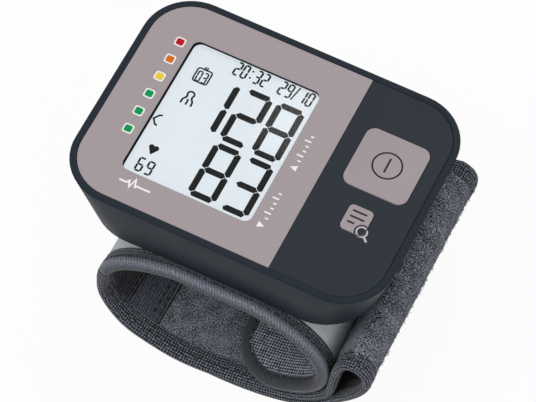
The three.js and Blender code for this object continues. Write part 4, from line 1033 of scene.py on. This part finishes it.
def blanket(name, start, end, insets, half_at, cell, material, relief=None, ends=("rim", "rim")):
    """A closed layer of cloth between two insets. Insets may change along the band.

    Each end is a rounded rim, a square butt where the relief fades out, or a square flow where
    the relief goes on into the next piece.
    """
    along = np.linspace(start, end, max(2, math.ceil((end - start) / cell) + 1))
    if ends[0] != "rim":
        along = np.insert(along, 1, start + SQUARE_STEP)
    if ends[1] != "rim":
        along = np.insert(along, -1, end - SQUARE_STEP)
    rows = len(along)
    columns = max(3, math.ceil(2 * CUFF_HALF / cell) + 1)
    half = np.array([half_at(value) for value in along])
    length = np.repeat(along[:, None], columns, axis=1)
    across = half[:, None] * np.linspace(-1, 1, columns)[None, :]
    outer = np.broadcast_to(np.asarray(insets[0](length)), length.shape)
    inner = np.broadcast_to(np.asarray(insets[1](length)), length.shape)
    middle = (outer + inner) / 2
    side_distance = half[:, None] - np.abs(across)
    rim_distance = side_distance.copy()
    fade_distance = side_distance.copy()
    for end_kind, distance in ((ends[0], length - start), (ends[1], end - length)):
        square = np.where(distance > SQUARE_STEP / 2, FAR, 0.0)
        rim_distance = np.minimum(rim_distance, distance if end_kind == "rim" else square)
        fade_distance = np.minimum(fade_distance, FAR if end_kind == "flow" else distance)
    thickness = (inner - outer) / 2
    share = np.clip(rim_distance / thickness, 0, 1)
    swell = thickness * np.sqrt(1 - (1 - share) ** 2)
    raise_out, raise_in = relief(length, across) if relief else (0.0, 0.0)
    free = np.clip((fade_distance - FADE_START) / FADE_REACH, 0, 1)
    top = band_points(length, across, middle - swell - raise_out * free)
    low = band_points(length, across, middle + swell + raise_in * free)
    number = np.arange(rows * columns).reshape(rows, columns)
    border = np.zeros((rows, columns), bool)
    border[0, :] = border[-1, :] = border[:, 0] = border[:, -1] = True
    low_number = number.copy()
    low_number[~border] = rows * columns + np.arange(int((~border).sum()))
    vertices = np.concatenate((top.reshape(-1, 3), low[~border]))
    faces = []
    uvs = []
    for grid, order in ((number, -1), (low_number, 1)):
        for i in range(rows - 1):
            for j in range(columns - 1):
                corners = [(i, j), (i + 1, j), (i + 1, j + 1), (i, j + 1)][::order]
                faces.append([int(grid[c]) for c in corners])
                uvs += [(length[c], across[c]) for c in corners]
    return mesh_piece(name, vertices, faces, uvs, material)


def tube_faces(rings, sides, first=0):
    """The faces of a closed tube: its sides, its start and its end."""
    faces = []
    for ring in range(rings - 1):
        for side in range(sides):
            a, b = (first + ring * sides + k for k in (side, (side + 1) % sides))
            faces.append([a, b, b + sides, a + sides])
    faces.append([first + side for side in reversed(range(sides))])
    faces.append([first + (rings - 1) * sides + side for side in range(sides)])
    return faces


def sweep(name, places, first, last, material):
    """A closed tape whose section of (inward, outward) points changes from a first to a last."""
    first = np.array(first)
    last = np.array(last)
    count = len(first)
    rows = []
    for k, place in enumerate(places):
        inward, height = (first + (last - first) * k / (len(places) - 1)).T
        length = place["length"] - place["out_length"] * inward
        across = place["side"] * (place["half"] - place["out_half"] * inward)
        rows.append(band_points(length, across, -height))
    middle = count // 2
    run = run_along(np.array([row[middle] for row in rows])) / MM
    around = run_along(first)
    reach = [*around[1:], around[-1] + BEAD]
    uvs = []
    for x0, x1 in zip(run, run[1:]):
        for y0, y1 in zip(around, reach):
            uvs += [(x0, y0), (x0, y1), (x1, y1), (x1, y0)]
    uvs += [(run[0], y) for y in around[::-1]] + [(run[-1], y) for y in around]
    faces = tube_faces(len(places), count)
    return mesh_piece(name, np.concatenate(rows), faces, uvs, material)


def threads(name, length, across, inset, radii, sides, material):
    """Short threads in one mesh. Each row of the arrays is the centre line of one thread."""
    centre = band_points(length, across, inset)
    heading = np.gradient(centre, axis=1)
    heading /= np.linalg.norm(heading, axis=2)[..., None]
    out = band_points(length, across, inset - 1.0) - centre
    out += heading * 0.1 * MM
    flat = np.cross(heading, out)
    flat /= np.linalg.norm(flat, axis=2)[..., None]
    up = np.cross(flat, heading)
    turns = 2 * np.pi * np.arange(sides) / sides
    reach = np.asarray(radii)[None, :, None, None] * MM
    rings = centre[:, :, None, :] + reach * (
        np.cos(turns)[None, None, :, None] * flat[:, :, None, :]
        + np.sin(turns)[None, None, :, None] * up[:, :, None, :]
    )
    rings[..., 2] = np.maximum(rings[..., 2], cad_bounds[0][2])
    count, stations = length.shape
    faces = []
    for k in range(count):
        faces += tube_faces(stations, sides, k * stations * sides)
    return mesh_piece(name, rings.reshape(-1, 3), faces, None, material)


# %% [markdown]
# ## Finishes of the cloth
# The cover under the housing is a smooth pale knit with fine ribs. The tongue and the first part
# of the strap are lined with an open spacer mesh: light ridges round dark holes. The outside of
# the strap and its hem are a coarser mesh, the cuff is bound with a twilled tape that carries a
# painted highlight along its crest and painted shade on its sides, and the loop field is brushed
# nylon. Real threads are 0.3 to 0.5 mm apart and would vanish at this picture size, so they are
# drawn at about twice that.

# %% Weaves
CLOTH_IOR = 1.5
UNEVEN = 0.7
# reach of the painted highlight on a tape's crest, and the painted shade on its sides
CREST_HIGHLIGHT_REACH = 2.1
PAINTED_SIDE_SHADE = 0.25
JOINS = {"MAXIMUM": (-0.9, 1.0), "ADD": (-1.8, 1.9), "MINIMUM": (-1.0, 0.8)}


def cloth_surface(add, colour, roughness, height, strength, depth, shine, sheen):
    """Ends a cloth's tree: a matt colour under a sheen, with a relief of a depth in mm."""
    relief = {"Height": height, "Strength": strength, "Distance": depth * MM}
    principled(
        add, colour, roughness, IOR=CLOTH_IOR, Specular_IOR_Level=shine, Sheen_Weight=sheen[0],
        Sheen_Roughness=sheen[1], Normal=add("Bump", relief),
    )


def woven(
    name, dark, light, pitches, depth, blotch, join="MAXIMUM", wear=0.55, soft=0.0,
    stops=(0.05, 0.95), lean=0.0, roughness=0.85, rim=None,
):
    """Ridges of thread at a pitch along and across the cloth. A pitch of zero leaves them out.

    The join of two directions leaves holes between ridges (MAXIMUM), raised crossings (ADD) or
    single dots (MINIMUM). Wear is the darkest share of light in the blotches, and soft is that of
    the grooves. Rim is the place across a tape where a painted highlight lies on the crest; away
    from it the colour falls to painted shade.
    """
    material, add = start_nodes(name)
    place = add("UVMap", uv_map="cloth")
    split = add("SeparateXYZ", [place]).outputs
    uneven = add("TexNoise", {"Vector": place, "Scale": 0.8, "Detail": 2.0})
    waves = []
    for axis, pitch in enumerate(pitches):
        if pitch:
            leaning = add("Math", [split[1 - axis], lean, split[axis]], operation="MULTIPLY_ADD")
            shifted = add("Math", [uneven, UNEVEN, leaning], operation="MULTIPLY_ADD")
            waves.append(sine_wave(add, shifted, pitch))
    ridges = add("Math", waves, operation=join) if len(waves) == 2 else waves[0]
    height = add("MapRange", [ridges, *JOINS[join], soft])
    patches = add("TexNoise", {"Vector": place, "Scale": 1 / blotch, "Detail": 5.0})
    worn = add("MapRange", [patches, 0.25, 0.75, wear, 1.1])
    lit = add("Math", [height, worn], operation="MULTIPLY")
    # painted highlight on the tape's crest, falling off to painted shade on its sides
    if rim is not None:
        distance = add("Math", [split[1], rim], operation="SUBTRACT")
        near = add("Math", [distance], operation="ABSOLUTE")
        pale = add("MapRange", [near, 0.0, CREST_HIGHLIGHT_REACH, 1.0, PAINTED_SIDE_SHADE])
        lit = add("Math", [lit, pale], operation="MULTIPLY")
    colour = ramp(add, lit, [(stops[0], dark), (stops[1], light)])
    cloth_surface(add, colour, roughness, height, 0.7, depth, 0.3, (0.2, 0.5))
    return material


def brushed_loop(name, dark, light):
    """Brushed nylon loop: tangled tufts under a millimetre wide, in wider patches."""
    material, add = start_nodes(name)
    place = add("UVMap", uv_map="cloth")
    tufts = add("TexNoise", {"Vector": place, "Scale": 3.0, "Detail": 3.0, "Roughness": 0.6})
    patches = add("TexNoise", {"Vector": place, "Scale": 0.3, "Detail": 4.0})
    tangle = add("Math", [patches, 0.2, tufts], operation="MULTIPLY_ADD")
    colour = ramp(add, tangle, [(0.53, dark), (0.76, light)])
    cloth_surface(add, colour, 0.95, tangle, 1.0, 0.5, 0.2, (0.35, 0.4))
    return material


def spun_thread(name, colour, roughness=0.8):
    """Thread or fibre whose tone changes a little along its run."""
    tones = (0.55, 1.35, 0.3, 0.7)
    return speckled(name, colour, roughness, 1.1, 3.0, tones, IOR=CLOTH_IOR)


smooth_knit = woven(
    "ribbed_nylon_knit", "#8f9499", "#cfd3d7", (0.8, 0), 0.03, 3.0, soft=0.5, wear=0.8,
    roughness=0.7,
)
spacer_mesh = woven(
    "polyester_spacer_mesh", "#040508", "#a6acba", (0.8, 0.8), 0.3, 2.0, "ADD", 0.6,
    stops=(0.25, 0.72),
)
# a dark nylon mesh whose colour is darkened further: painted shade for the hole of the fold and the
# gap between cuff and flap
coarse_mesh_with_painted_shade = woven(
    "dark_nylon_mesh_with_painted_shade", "#050608", "#2a2d35", (0.8, 0.8), 0.3, 3.0, "ADD", 0.3,
)
# a dark spacer mesh whose colour is darkened further: painted shade for the inside of the ring by
# the joint
dark_mesh_with_painted_shade = woven(
    "dark_spacer_mesh_with_painted_shade", "#050608", "#4a4f5a", (0.8, 0.8), 0.3, 1.5, "MINIMUM", 0.2,
)
ribbed_lining = woven(
    "ribbed_nylon_lining", "#14161b", "#666b79", (0.75, 0), 0.08, 0.8, wear=0.3, soft=0.2,
)
# the tape carries a painted highlight along its crest and painted shade on its sides
bound_tape = woven(
    "twilled_polyester_tape", "#14171d", "#9ba1b0", (0.8, 0), 0.02, 0.5, wear=0.35, soft=0.55,
    lean=0.5, roughness=0.7, rim=3.3,
)
hem_mesh = woven(
    "nylon_mesh_hem", "#06070a", "#8b91a0", (0.74, 0.74), 0.1, 0.6, "ADD", 0.3, stops=(0.22, 0.8),
)
loop_field = brushed_loop("brushed_nylon_loop", "#090b0f", "#bcc2d1")
pile_fibre = spun_thread("crimped_nylon_fibre", "#9298a6", 0.9)
dark_thread = spun_thread("polyester_sewing_thread_dark", "#14161a")
hook_nylon = moulded_plastic("moulded_nylon_hook_tape", "#33363c", 0.55, grain=0.4)
cloths = (smooth_knit, spacer_mesh, coarse_mesh_with_painted_shade, dark_mesh_with_painted_shade, ribbed_lining, bound_tape, hem_mesh)
print("cloths:", [cloth.name for cloth in cloths])

# %% [markdown]
# ## Cuff layers
# The outer cloth is tight over the former. The lining is softer: it puffs a little between its
# seams, and it has shallow wrinkles where the band bends. The last millimetres before the joint
# and the fold belong to separate short pieces, because the band bends there when it is opened.

# %% Widths, insets and relief
EDGE = 1.35
BEAD = 1.2
CUFF_THICKNESS = 2.4
STRAP_THICKNESS = 1.75
TONGUE_CORNER = 15.0
TAIL_CORNER = 10.0
BLEND_REACH = 5.1
FOLD_REACH = 7.5
COVER = 0.6
LINING_TOP = 1.9
STRAP_COVER = 0.7
PAD_TOP = 0.85
PAD_TURN = 0.665
PAD_SEAM = length_near(spiral(PAD_TURN), low=JOINT, high=FOLD)
ring_end = JOINT - BLEND_REACH
strap_start = JOINT + BLEND_REACH
strap_stop = FOLD - FOLD_REACH
flap_start = FOLD + FOLD_REACH
LINING_SEAM = (strap_start + PAD_SEAM) / 2


def corner_half(distance, corner):
    """Half width of the cloth at a distance from an end with round corners."""
    straight = CUFF_HALF - EDGE
    bend = corner - distance
    if bend <= 0:
        return straight
    return CUFF_HALF - corner + math.sqrt(max((corner - EDGE) ** 2 - bend ** 2, 0.0))


def tongue_half(length):
    return corner_half(length - TIP, TONGUE_CORNER)


def tail_half(length):
    return corner_half(TAIL - length, TAIL_CORNER)


def level(value):
    """An inset or a half width that is the same all along the band."""
    return lambda length: value


full_half = level(CUFF_HALF - EDGE)


def soft_relief(puff, wrinkle, scale, seed, outside=False):
    """Cloth that puffs between its edges, with shallow wrinkles across the band."""

    def relief(length, across):
        rise = puff + wrinkle * noise_field(length, across / 3, scale, seed)
        return (rise, 0.0) if outside else (0.0, rise)

    return relief


def pile_relief(height, scale, seed):
    """The uneven surface of brushed loop."""

    def relief(length, across):
        coarse = noise_field(length, across, scale, seed)
        fine = noise_field(length, across, scale / 2.3, seed + 5)
        return 0.0, height * (0.6 * coarse + 0.4 * fine)

    return relief


# %% [markdown]
# ## Where the band bends
# The strap opens about the joint at the lower left edge of the housing, and its end unfolds about
# the fold. For the short pieces there, two bodies and a start and an end just before and behind
# the bend are written down, and the pieces stay where they are made.

# %% Bends and the bookkeeping of a cloth piece
BEND_HALF = 4.5
FOLD_BEND_X = (38.3, 41.2)
joint_x, joint_z = spiral(JOINT_TURN)
fold_depth = FOLD_POINTS[1][1]
joint_bend = (
    "housing", "strap", *(on_face(joint_x, 0, way - joint_z) for way in (-BEND_HALF, BEND_HALF)),
)
fold_bend = ("strap", "strap_end", *(on_face(x, 0, fold_depth) for x in FOLD_BEND_X))


def add_cloth(piece, body, slot_name, *nodes):
    """Gives a cloth piece its body, or keeps it where it is made, and hides the solids that it
    stands for. The slot name is not used.
    """
    if isinstance(body, str):
        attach(piece, body)
    else:
        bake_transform(piece)
    if nodes:
        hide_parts(*nodes)
    return piece


# %% Cloth from the tongue to the fold and back
strap_relief = soft_relief(0.0, 0.12, 7.0, 17.0, True)
loop_relief = pile_relief(0.28, 2.0, 31.0)
RIM, BUTT, FLOW = "rim", "butt", "flow"
LOOP_GAP = 0.3
OUTSIDE = (level(0), level(STRAP_COVER))
INSIDE = (level(PAD_TOP), level(STRAP_THICKNESS))


def change(first, second):
    """An inset that changes evenly from one value to another along the joint."""
    run = strap_start - ring_end
    return lambda length: first + (second - first) * np.clip((length - ring_end) / run, 0, 1)


# name, start, end, insets, half width, cell, cloth, relief, ends, body, solids it stands for
CLOTH = [
    ("cuff_outer_cloth", TIP + EDGE, ring_end, (level(0), level(COVER)), tongue_half, 1.0,
     smooth_knit, soft_relief(0.0, 0.06, 7.0, 3.0, True), (RIM, BUTT), "housing", ["cuff_cover"]),
    ("cuff_lining_cloth", TIP + EDGE, ring_end, (level(LINING_TOP), level(CUFF_THICKNESS)),
     tongue_half, 1.0, spacer_mesh, soft_relief(0.55, 0.3, 8.0, 11.0), (RIM, BUTT), "housing",
     ["cuff_lining"]),
    ("joint_outer_cloth", ring_end, strap_start, (level(0), change(COVER, STRAP_COVER)),
     full_half, 0.8, coarse_mesh_with_painted_shade, None, (BUTT, BUTT), joint_bend, []),
    ("joint_lining_cloth", ring_end, strap_start,
     (change(LINING_TOP, PAD_TOP), change(CUFF_THICKNESS, STRAP_THICKNESS)),
     full_half, 0.8, dark_mesh_with_painted_shade, None, (BUTT, BUTT), joint_bend, []),
    ("strap_outer_cloth", strap_start, strap_stop, OUTSIDE, full_half, 1.0, coarse_mesh_with_painted_shade,
     strap_relief, (BUTT, FLOW), "strap", ["strap_cover"]),
    ("strap_mesh_lining", strap_start, LINING_SEAM, INSIDE, full_half, 1.0, dark_mesh_with_painted_shade,
     soft_relief(0.35, 0.2, 6.0, 21.0), (BUTT, RIM), "strap", []),
    ("strap_ribbed_lining", LINING_SEAM, PAD_SEAM, INSIDE, full_half, 1.0, ribbed_lining,
     soft_relief(0.35, 0.15, 8.0, 23.0), (RIM, RIM), "strap", ["strap_lining"]),
    ("strap_loop_field", PAD_SEAM + LOOP_GAP, strap_stop, INSIDE, full_half, 0.6, loop_field,
     loop_relief, (RIM, FLOW), "strap", ["strap_loop_pad"]),
    ("fold_cloth", strap_stop, flap_start, OUTSIDE, full_half, 0.8, coarse_mesh_with_painted_shade, strap_relief,
     (FLOW, FLOW), fold_bend, []),
    ("fold_loop_field", strap_stop, flap_start, INSIDE, full_half, 0.6, loop_field, loop_relief,
     (FLOW, FLOW), fold_bend, []),
    ("strap_end_cloth", flap_start, TAIL - EDGE, OUTSIDE, tail_half, 1.0, coarse_mesh_with_painted_shade,
     strap_relief, (FLOW, RIM), "strap_end", ["strap_end_cover"]),
    ("strap_end_loop_field", flap_start, TAIL - EDGE, INSIDE, tail_half, 0.6, loop_field,
     loop_relief, (FLOW, RIM), "strap_end", ["strap_end_loop_pad"]),
]
cloth_pieces = {}
cloth_sizes = {}
for name, start, end, insets, half_at, cell, cloth, relief, ends, body, nodes in CLOTH:
    made = blanket(name, start, end, insets, half_at, cell, cloth, relief, ends)
    slot_name = "loop_cloth" if cloth is loop_field else "cuff_cloth"
    cloth_pieces[name] = add_cloth(made, body, slot_name, *nodes)
    widths = [2 * half_at(value) for value in np.linspace(start, end, 200)]
    cloth_sizes[name] = (max(widths), end - start, float(np.mean(widths)) * (end - start))
    print(name, "flat (mm):", round(max(widths), 1), "x", round(end - start, 1))

# %% [markdown]
# ## Edge tape and hem
# The edge of the cuff is wrapped in a folded tape over a narrow border of mesh. The edge of the
# strap is a hem of its own mesh, wider inside. Both are a profile carried along the edge: round
# over the rim, flat on both sides and drawn in where the thread pulls it down.

# %% Edge tape and hem
TAPE_SIZES = (
    "thickness", "proud_out", "proud_in", "outside", "seam_outside", "inside", "seam_inside",
)
CUFF_TAPE = dict(zip(TAPE_SIZES, (CUFF_THICKNESS, 0.45, 0.35, 3.9, 2.8, 3.3, 2.5)))
STRAP_HEM = dict(zip(TAPE_SIZES, (STRAP_THICKNESS, 0.14, 0.3, 2.6, 5.4, 5.0, 4.3)))
JOINT_HEM = {key: (CUFF_TAPE[key] + STRAP_HEM[key]) / 2 for key in CUFF_TAPE}
HEM_SECOND_SEAM = 2.3
BORDER = [(2.0, 0.02), (2.0, 0.22), (5.1, 0.22), (5.5, 0.02)]
EDGE_STEP = 1.2
CORNER_STEPS = 12


def tape_profile(thickness, proud_out, proud_in, outside, seam_outside, inside, seam_inside):
    """The tape's section as (inward from the edge, outward from the outer face) points."""
    low = -thickness
    groove = min(seam_outside, outside - 0.6)
    groove_height = (0.25 if groove == seam_outside else 0.95) * proud_out
    return [
        (outside, 0.02), (outside, 0.6 * proud_out),
        (groove + 0.5, 0.9 * proud_out), (groove, groove_height), (groove - 0.6, proud_out),
        (1.2, 1.05 * proud_out), (0.5, 0.5 * proud_out),
        (0.0, -0.35 * thickness), (0.0, -0.65 * thickness),
        (0.5, low - 0.5 * proud_in), (1.2, low - proud_in),
        (seam_inside - 0.5, low - proud_in), (seam_inside, low - 0.2 * proud_in),
        (seam_inside + 0.5, low - 0.8 * proud_in), (inside, low - 0.4 * proud_in),
        (inside, low - 0.02), (BEAD, low - 0.02), (BEAD, 0.02),
    ]


def straight_places(start, end, side):
    """Places along a straight edge of the band."""
    count = max(2, math.ceil((end - start) / EDGE_STEP))
    return [
        {"length": value, "half": CUFF_HALF, "out_length": 0.0, "out_half": 1.0, "side": side}
        for value in np.linspace(start, end, count + 1)
    ]


def round_end_places(start, end, corner, at_tip):
    """Places along one edge, round both corners of an end and back along the other edge."""
    sign = -1.0 if at_tip else 1.0
    inner = start + corner if at_tip else end - corner
    run = straight_places(inner, end, 1.0)[::-1] if at_tip else straight_places(start, inner, 1.0)
    for k in range(1, CORNER_STEPS + 1):
        angle = math.pi / 2 * k / CORNER_STEPS
        run.append({
            "length": inner + sign * corner * math.sin(angle),
            "half": CUFF_HALF - corner + corner * math.cos(angle),
            "out_length": sign * math.sin(angle), "out_half": math.cos(angle), "side": 1.0,
        })
    return run + [dict(place, side=-1.0) for place in reversed(run)]


# name, places, section, cloth, body, solids it stands for, the cloth that it binds
TAPES = [
    ("cuff_edge_tape", round_end_places(TIP, ring_end, TONGUE_CORNER, True), CUFF_TAPE,
     bound_tape, "housing", ["cuff_binding"], "cuff_outer_cloth"),
]
for part, start, end, section, body, bound in (
    ("joint", ring_end, strap_start, JOINT_HEM, joint_bend, "joint_outer_cloth"),
    ("strap", strap_start, strap_stop, STRAP_HEM, "strap", "strap_outer_cloth"),
    ("fold", strap_stop, flap_start, STRAP_HEM, fold_bend, "fold_cloth"),
):
    for edge, side in (("near", -1.0), ("far", 1.0)):
        nodes = [f"strap_{edge}_binding"] if part == "strap" else []
        places = straight_places(start, end, side)
        TAPES.append((f"{part}_{edge}_tape", places, section, hem_mesh, body, nodes, bound))
TAPES.append(
    ("strap_end_tape", round_end_places(flap_start, TAIL, TAIL_CORNER, False), STRAP_HEM,
     hem_mesh, "strap_end", ["strap_end_binding"], "strap_end_cloth")
)
on_cloth = {name: [] for name in cloth_pieces}
for name, places, section, cloth, body, nodes, bound in TAPES:
    first, last = (CUFF_TAPE, STRAP_HEM) if section is JOINT_HEM else (section, section)
    tape = sweep(name, places, tape_profile(**first), tape_profile(**last), cloth)
    on_cloth[bound].append(add_cloth(tape, body, "binding_cloth", *nodes))
border = sweep("cuff_border_mesh", TAPES[0][1], BORDER, BORDER, hem_mesh)
on_cloth["cuff_outer_cloth"].append(add_cloth(border, "housing", "cuff_cloth"))
print("tapes:", len(TAPES))

# %% [markdown]
# ## Stitches
# A sewing machine leaves one short thread per stitch on each side of the cloth. Each is a small
# arch whose ends dive into the tape. The stitches are about 1.7 mm long with a gap between them,
# and they stand a little askew, one to the left and the next to the right. The hem of the strap
# has a second row inside.

# %% Stitches
STITCH_PITCH = 2.4
STITCH_LENGTH = 1.7
STITCH_ARCH = 0.1
STITCH_RADII = (0.05, 0.17, 0.21, 0.17, 0.05)
STITCH_SKEW = 0.22
SEAM_END = 6
SEAM_SET = 0.9
SEAM_ROW = 1.7


def stitch_row(name, length, across, inset, side):
    """Stitches along a path of band coordinates. Side is 1 on the outer face, -1 on the inner."""
    world = band_points(length, across, np.full(length.shape, inset))
    run = run_along(world) / MM
    count = int(run[-1] / STITCH_PITCH)
    starts = (run[-1] - count * STITCH_PITCH) / 2 + STITCH_PITCH * np.arange(count)
    shares = np.linspace(0, 1, len(STITCH_RADII))
    places = starts[:, None] + STITCH_LENGTH * shares[None, :]
    skew = STITCH_SKEW * np.where(np.arange(count) % 2, 1, -1)[:, None] * (shares[None, :] - 0.5)
    row_length = np.interp(places, run, length)
    row_across = np.interp(places, run, across)
    slope_length = np.interp(places + 0.1, run, length) - row_length
    slope_across = np.interp(places + 0.1, run, across) - row_across
    size = np.maximum(np.hypot(slope_length, slope_across), 1e-6)
    row_inset = inset - side * (STITCH_ARCH * np.sin(np.pi * shares)[None, :] - 0.05)
    return threads(
        name, row_length - skew * slope_across / size, row_across + skew * slope_length / size,
        np.broadcast_to(row_inset, row_length.shape), STITCH_RADII, 6, dark_thread,
    )


stitched = 0
for name, places, section, cloth, body, nodes, bound in TAPES:
    low = section["thickness"]
    rows = [
        ("outer", section["seam_outside"], -0.3 * section["proud_out"], 1),
        ("inner", section["seam_inside"], low + 0.3 * section["proud_in"], -1),
    ]
    if section is STRAP_HEM:
        rows.append(("second", HEM_SECOND_SEAM, low + 0.95 * section["proud_in"], -1))
    for face, inward, inset, side in rows:
        length = np.array([p["length"] - p["out_length"] * inward for p in places])
        across = np.array([p["side"] * (p["half"] - p["out_half"] * inward) for p in places])
        row = stitch_row(name.replace("tape", f"stitches_{face}"), length, across, inset, side)
        on_cloth[bound].append(add_cloth(row, body, "binding_cloth"))
        stitched += 1
across = np.linspace(-CUFF_HALF + SEAM_END, CUFF_HALF - SEAM_END, 60)
seams = (PAD_SEAM, PAD_SEAM - SEAM_ROW, LINING_SEAM)
for number, seam in enumerate(seams, 1):
    length = np.full(across.shape, seam - SEAM_SET)
    row = stitch_row(f"lining_seam_{number}", length, across, STRAP_THICKNESS + 0.1, -1)
    on_cloth["strap_ribbed_lining"].append(add_cloth(row, "strap", "binding_cloth"))
    stitched += 1
print("rows of stitches:", stitched)

# %% [markdown]
# ## Pile
# Brushed loop is a mat of tiny crimped arches of fibre. The material gives the mat its tangle, and
# a scatter of real arches breaks its outline and throws small shadows. A fixed seed keeps them
# the same in every run.

# %% Pile
chance = np.random.default_rng(12)
FIBRE_RADII = (0.05, 0.06, 0.06, 0.05)
FIBRE_SPANS = (0.6, 1.5)
FIBRE_BENDS = (-0.5, 0.5)


def pile(name, start, end, half_at, inset, count, heights):
    """Small arches of fibre that stand on the inner face of the band."""
    length = chance.uniform(start + 1, end - 1, count)
    half = np.array([half_at(value) for value in length]) - STRAP_HEM["inside"] + EDGE
    across = chance.uniform(-1, 1, count) * half
    heading = chance.uniform(0, 2 * np.pi, count)
    span = chance.uniform(*FIBRE_SPANS, count)
    height = chance.uniform(*heights, count)
    shares = np.linspace(0, 1, len(FIBRE_RADII))
    bend = chance.uniform(*FIBRE_BENDS, count)[:, None] * np.sin(np.pi * shares)[None, :]
    step = span[:, None] * (shares[None, :] - 0.5)
    row_length = length[:, None] + np.cos(heading)[:, None] * step - np.sin(heading)[:, None] * bend
    row_across = across[:, None] + np.sin(heading)[:, None] * step + np.cos(heading)[:, None] * bend
    row_inset = inset + height[:, None] * np.sin(np.pi * shares)[None, :]
    return threads(name, row_length, row_across, row_inset, FIBRE_RADII, 3, pile_fibre)


LOW_PILE = (0.1, 0.25)
HIGH_PILE = (0.3, 0.85)
CREST = 7
crest_start = strap_stop - CREST
for name, start, end, half_at, count, heights, body, part in (
    ("strap_pile", PAD_SEAM + 1, crest_start, full_half, 2300, LOW_PILE, "strap", "strap"),
    ("crest_pile", crest_start, strap_stop, full_half, 1100, HIGH_PILE, "strap", "strap"),
    ("fold_pile", strap_stop, flap_start, full_half, 1100, HIGH_PILE, fold_bend, "fold"),
    ("strap_end_pile", flap_start, TAIL - EDGE, tail_half, 3000, LOW_PILE, "strap_end", "strap_end"),
):
    piece = pile(name, start, end, half_at, STRAP_THICKNESS, count, heights)
    on_cloth[f"{part}_loop_field"].append(add_cloth(piece, body, "loop_cloth"))
    print(name, "fibres:", count)

# %% [markdown]
# ## Hooks on the tongue
# The outside of the tongue carries the other half of the fastener: a stiff strip with rows of
# moulded hooks. They are seen only when the strap is opened. Real hooks are 0.7 mm apart, and
# they are drawn at twice that, which still reads as hook tape.

# %% Hooks
HOOK_START = 5.0
HOOK_END = 27.0
HOOK_HALF = 23.0
HOOK_BASE = 0.35
HOOK_PITCH = 1.4
HOOK_RADII = (0.16, 0.14, 0.12, 0.1, 0.07)
HOOK_RISE = 0.3
HOOK_MARGIN = 0.8
hook_floor = -HOOK_RISE - HOOK_BASE
hook_base = blanket(
    "tongue_hook_base", HOOK_START, HOOK_END, (level(hook_floor), level(-HOOK_RISE)),
    level(HOOK_HALF), 1.5, hook_nylon,
)
add_cloth(hook_base, "housing", "hook_cloth", "tongue_hook_patch")
rows, columns = np.meshgrid(
    np.arange(HOOK_START + HOOK_MARGIN, HOOK_END - HOOK_MARGIN, HOOK_PITCH),
    np.arange(-HOOK_HALF + HOOK_MARGIN, HOOK_HALF - HOOK_MARGIN, HOOK_PITCH),
)
curl = np.array((0.0, 0.0, 0.05, 0.22, 0.34))
rise = np.array((-0.05, 0.2, 0.36, 0.44, 0.34))
hooks = threads(
    "tongue_hooks",
    rows.reshape(-1, 1) + curl[None, :],
    np.repeat(columns.reshape(-1, 1), curl.size, axis=1),
    hook_floor - np.repeat(rise[None, :], rows.size, axis=0),
    HOOK_RADII, 4, hook_nylon,
)
add_cloth(hooks, "housing", "hook_cloth")
print("hooks:", rows.size)

# %% [markdown]
# ## Sizes of the cloth
# The size that each cloth was cut to, before it was sewn in, is read back: its width and its
# length along the band, and its area where an end has round corners. The lining of the cuff is
# the soft side of the pad over the air bladder, and it is skipped.

# %% Sizes of the cloth
for name, piece in cloth_pieces.items():
    if name == "cuff_lining_cloth":
        continue
    width, length, area = cloth_sizes[name]
print("sheets:", len(cloth_pieces) - 1)
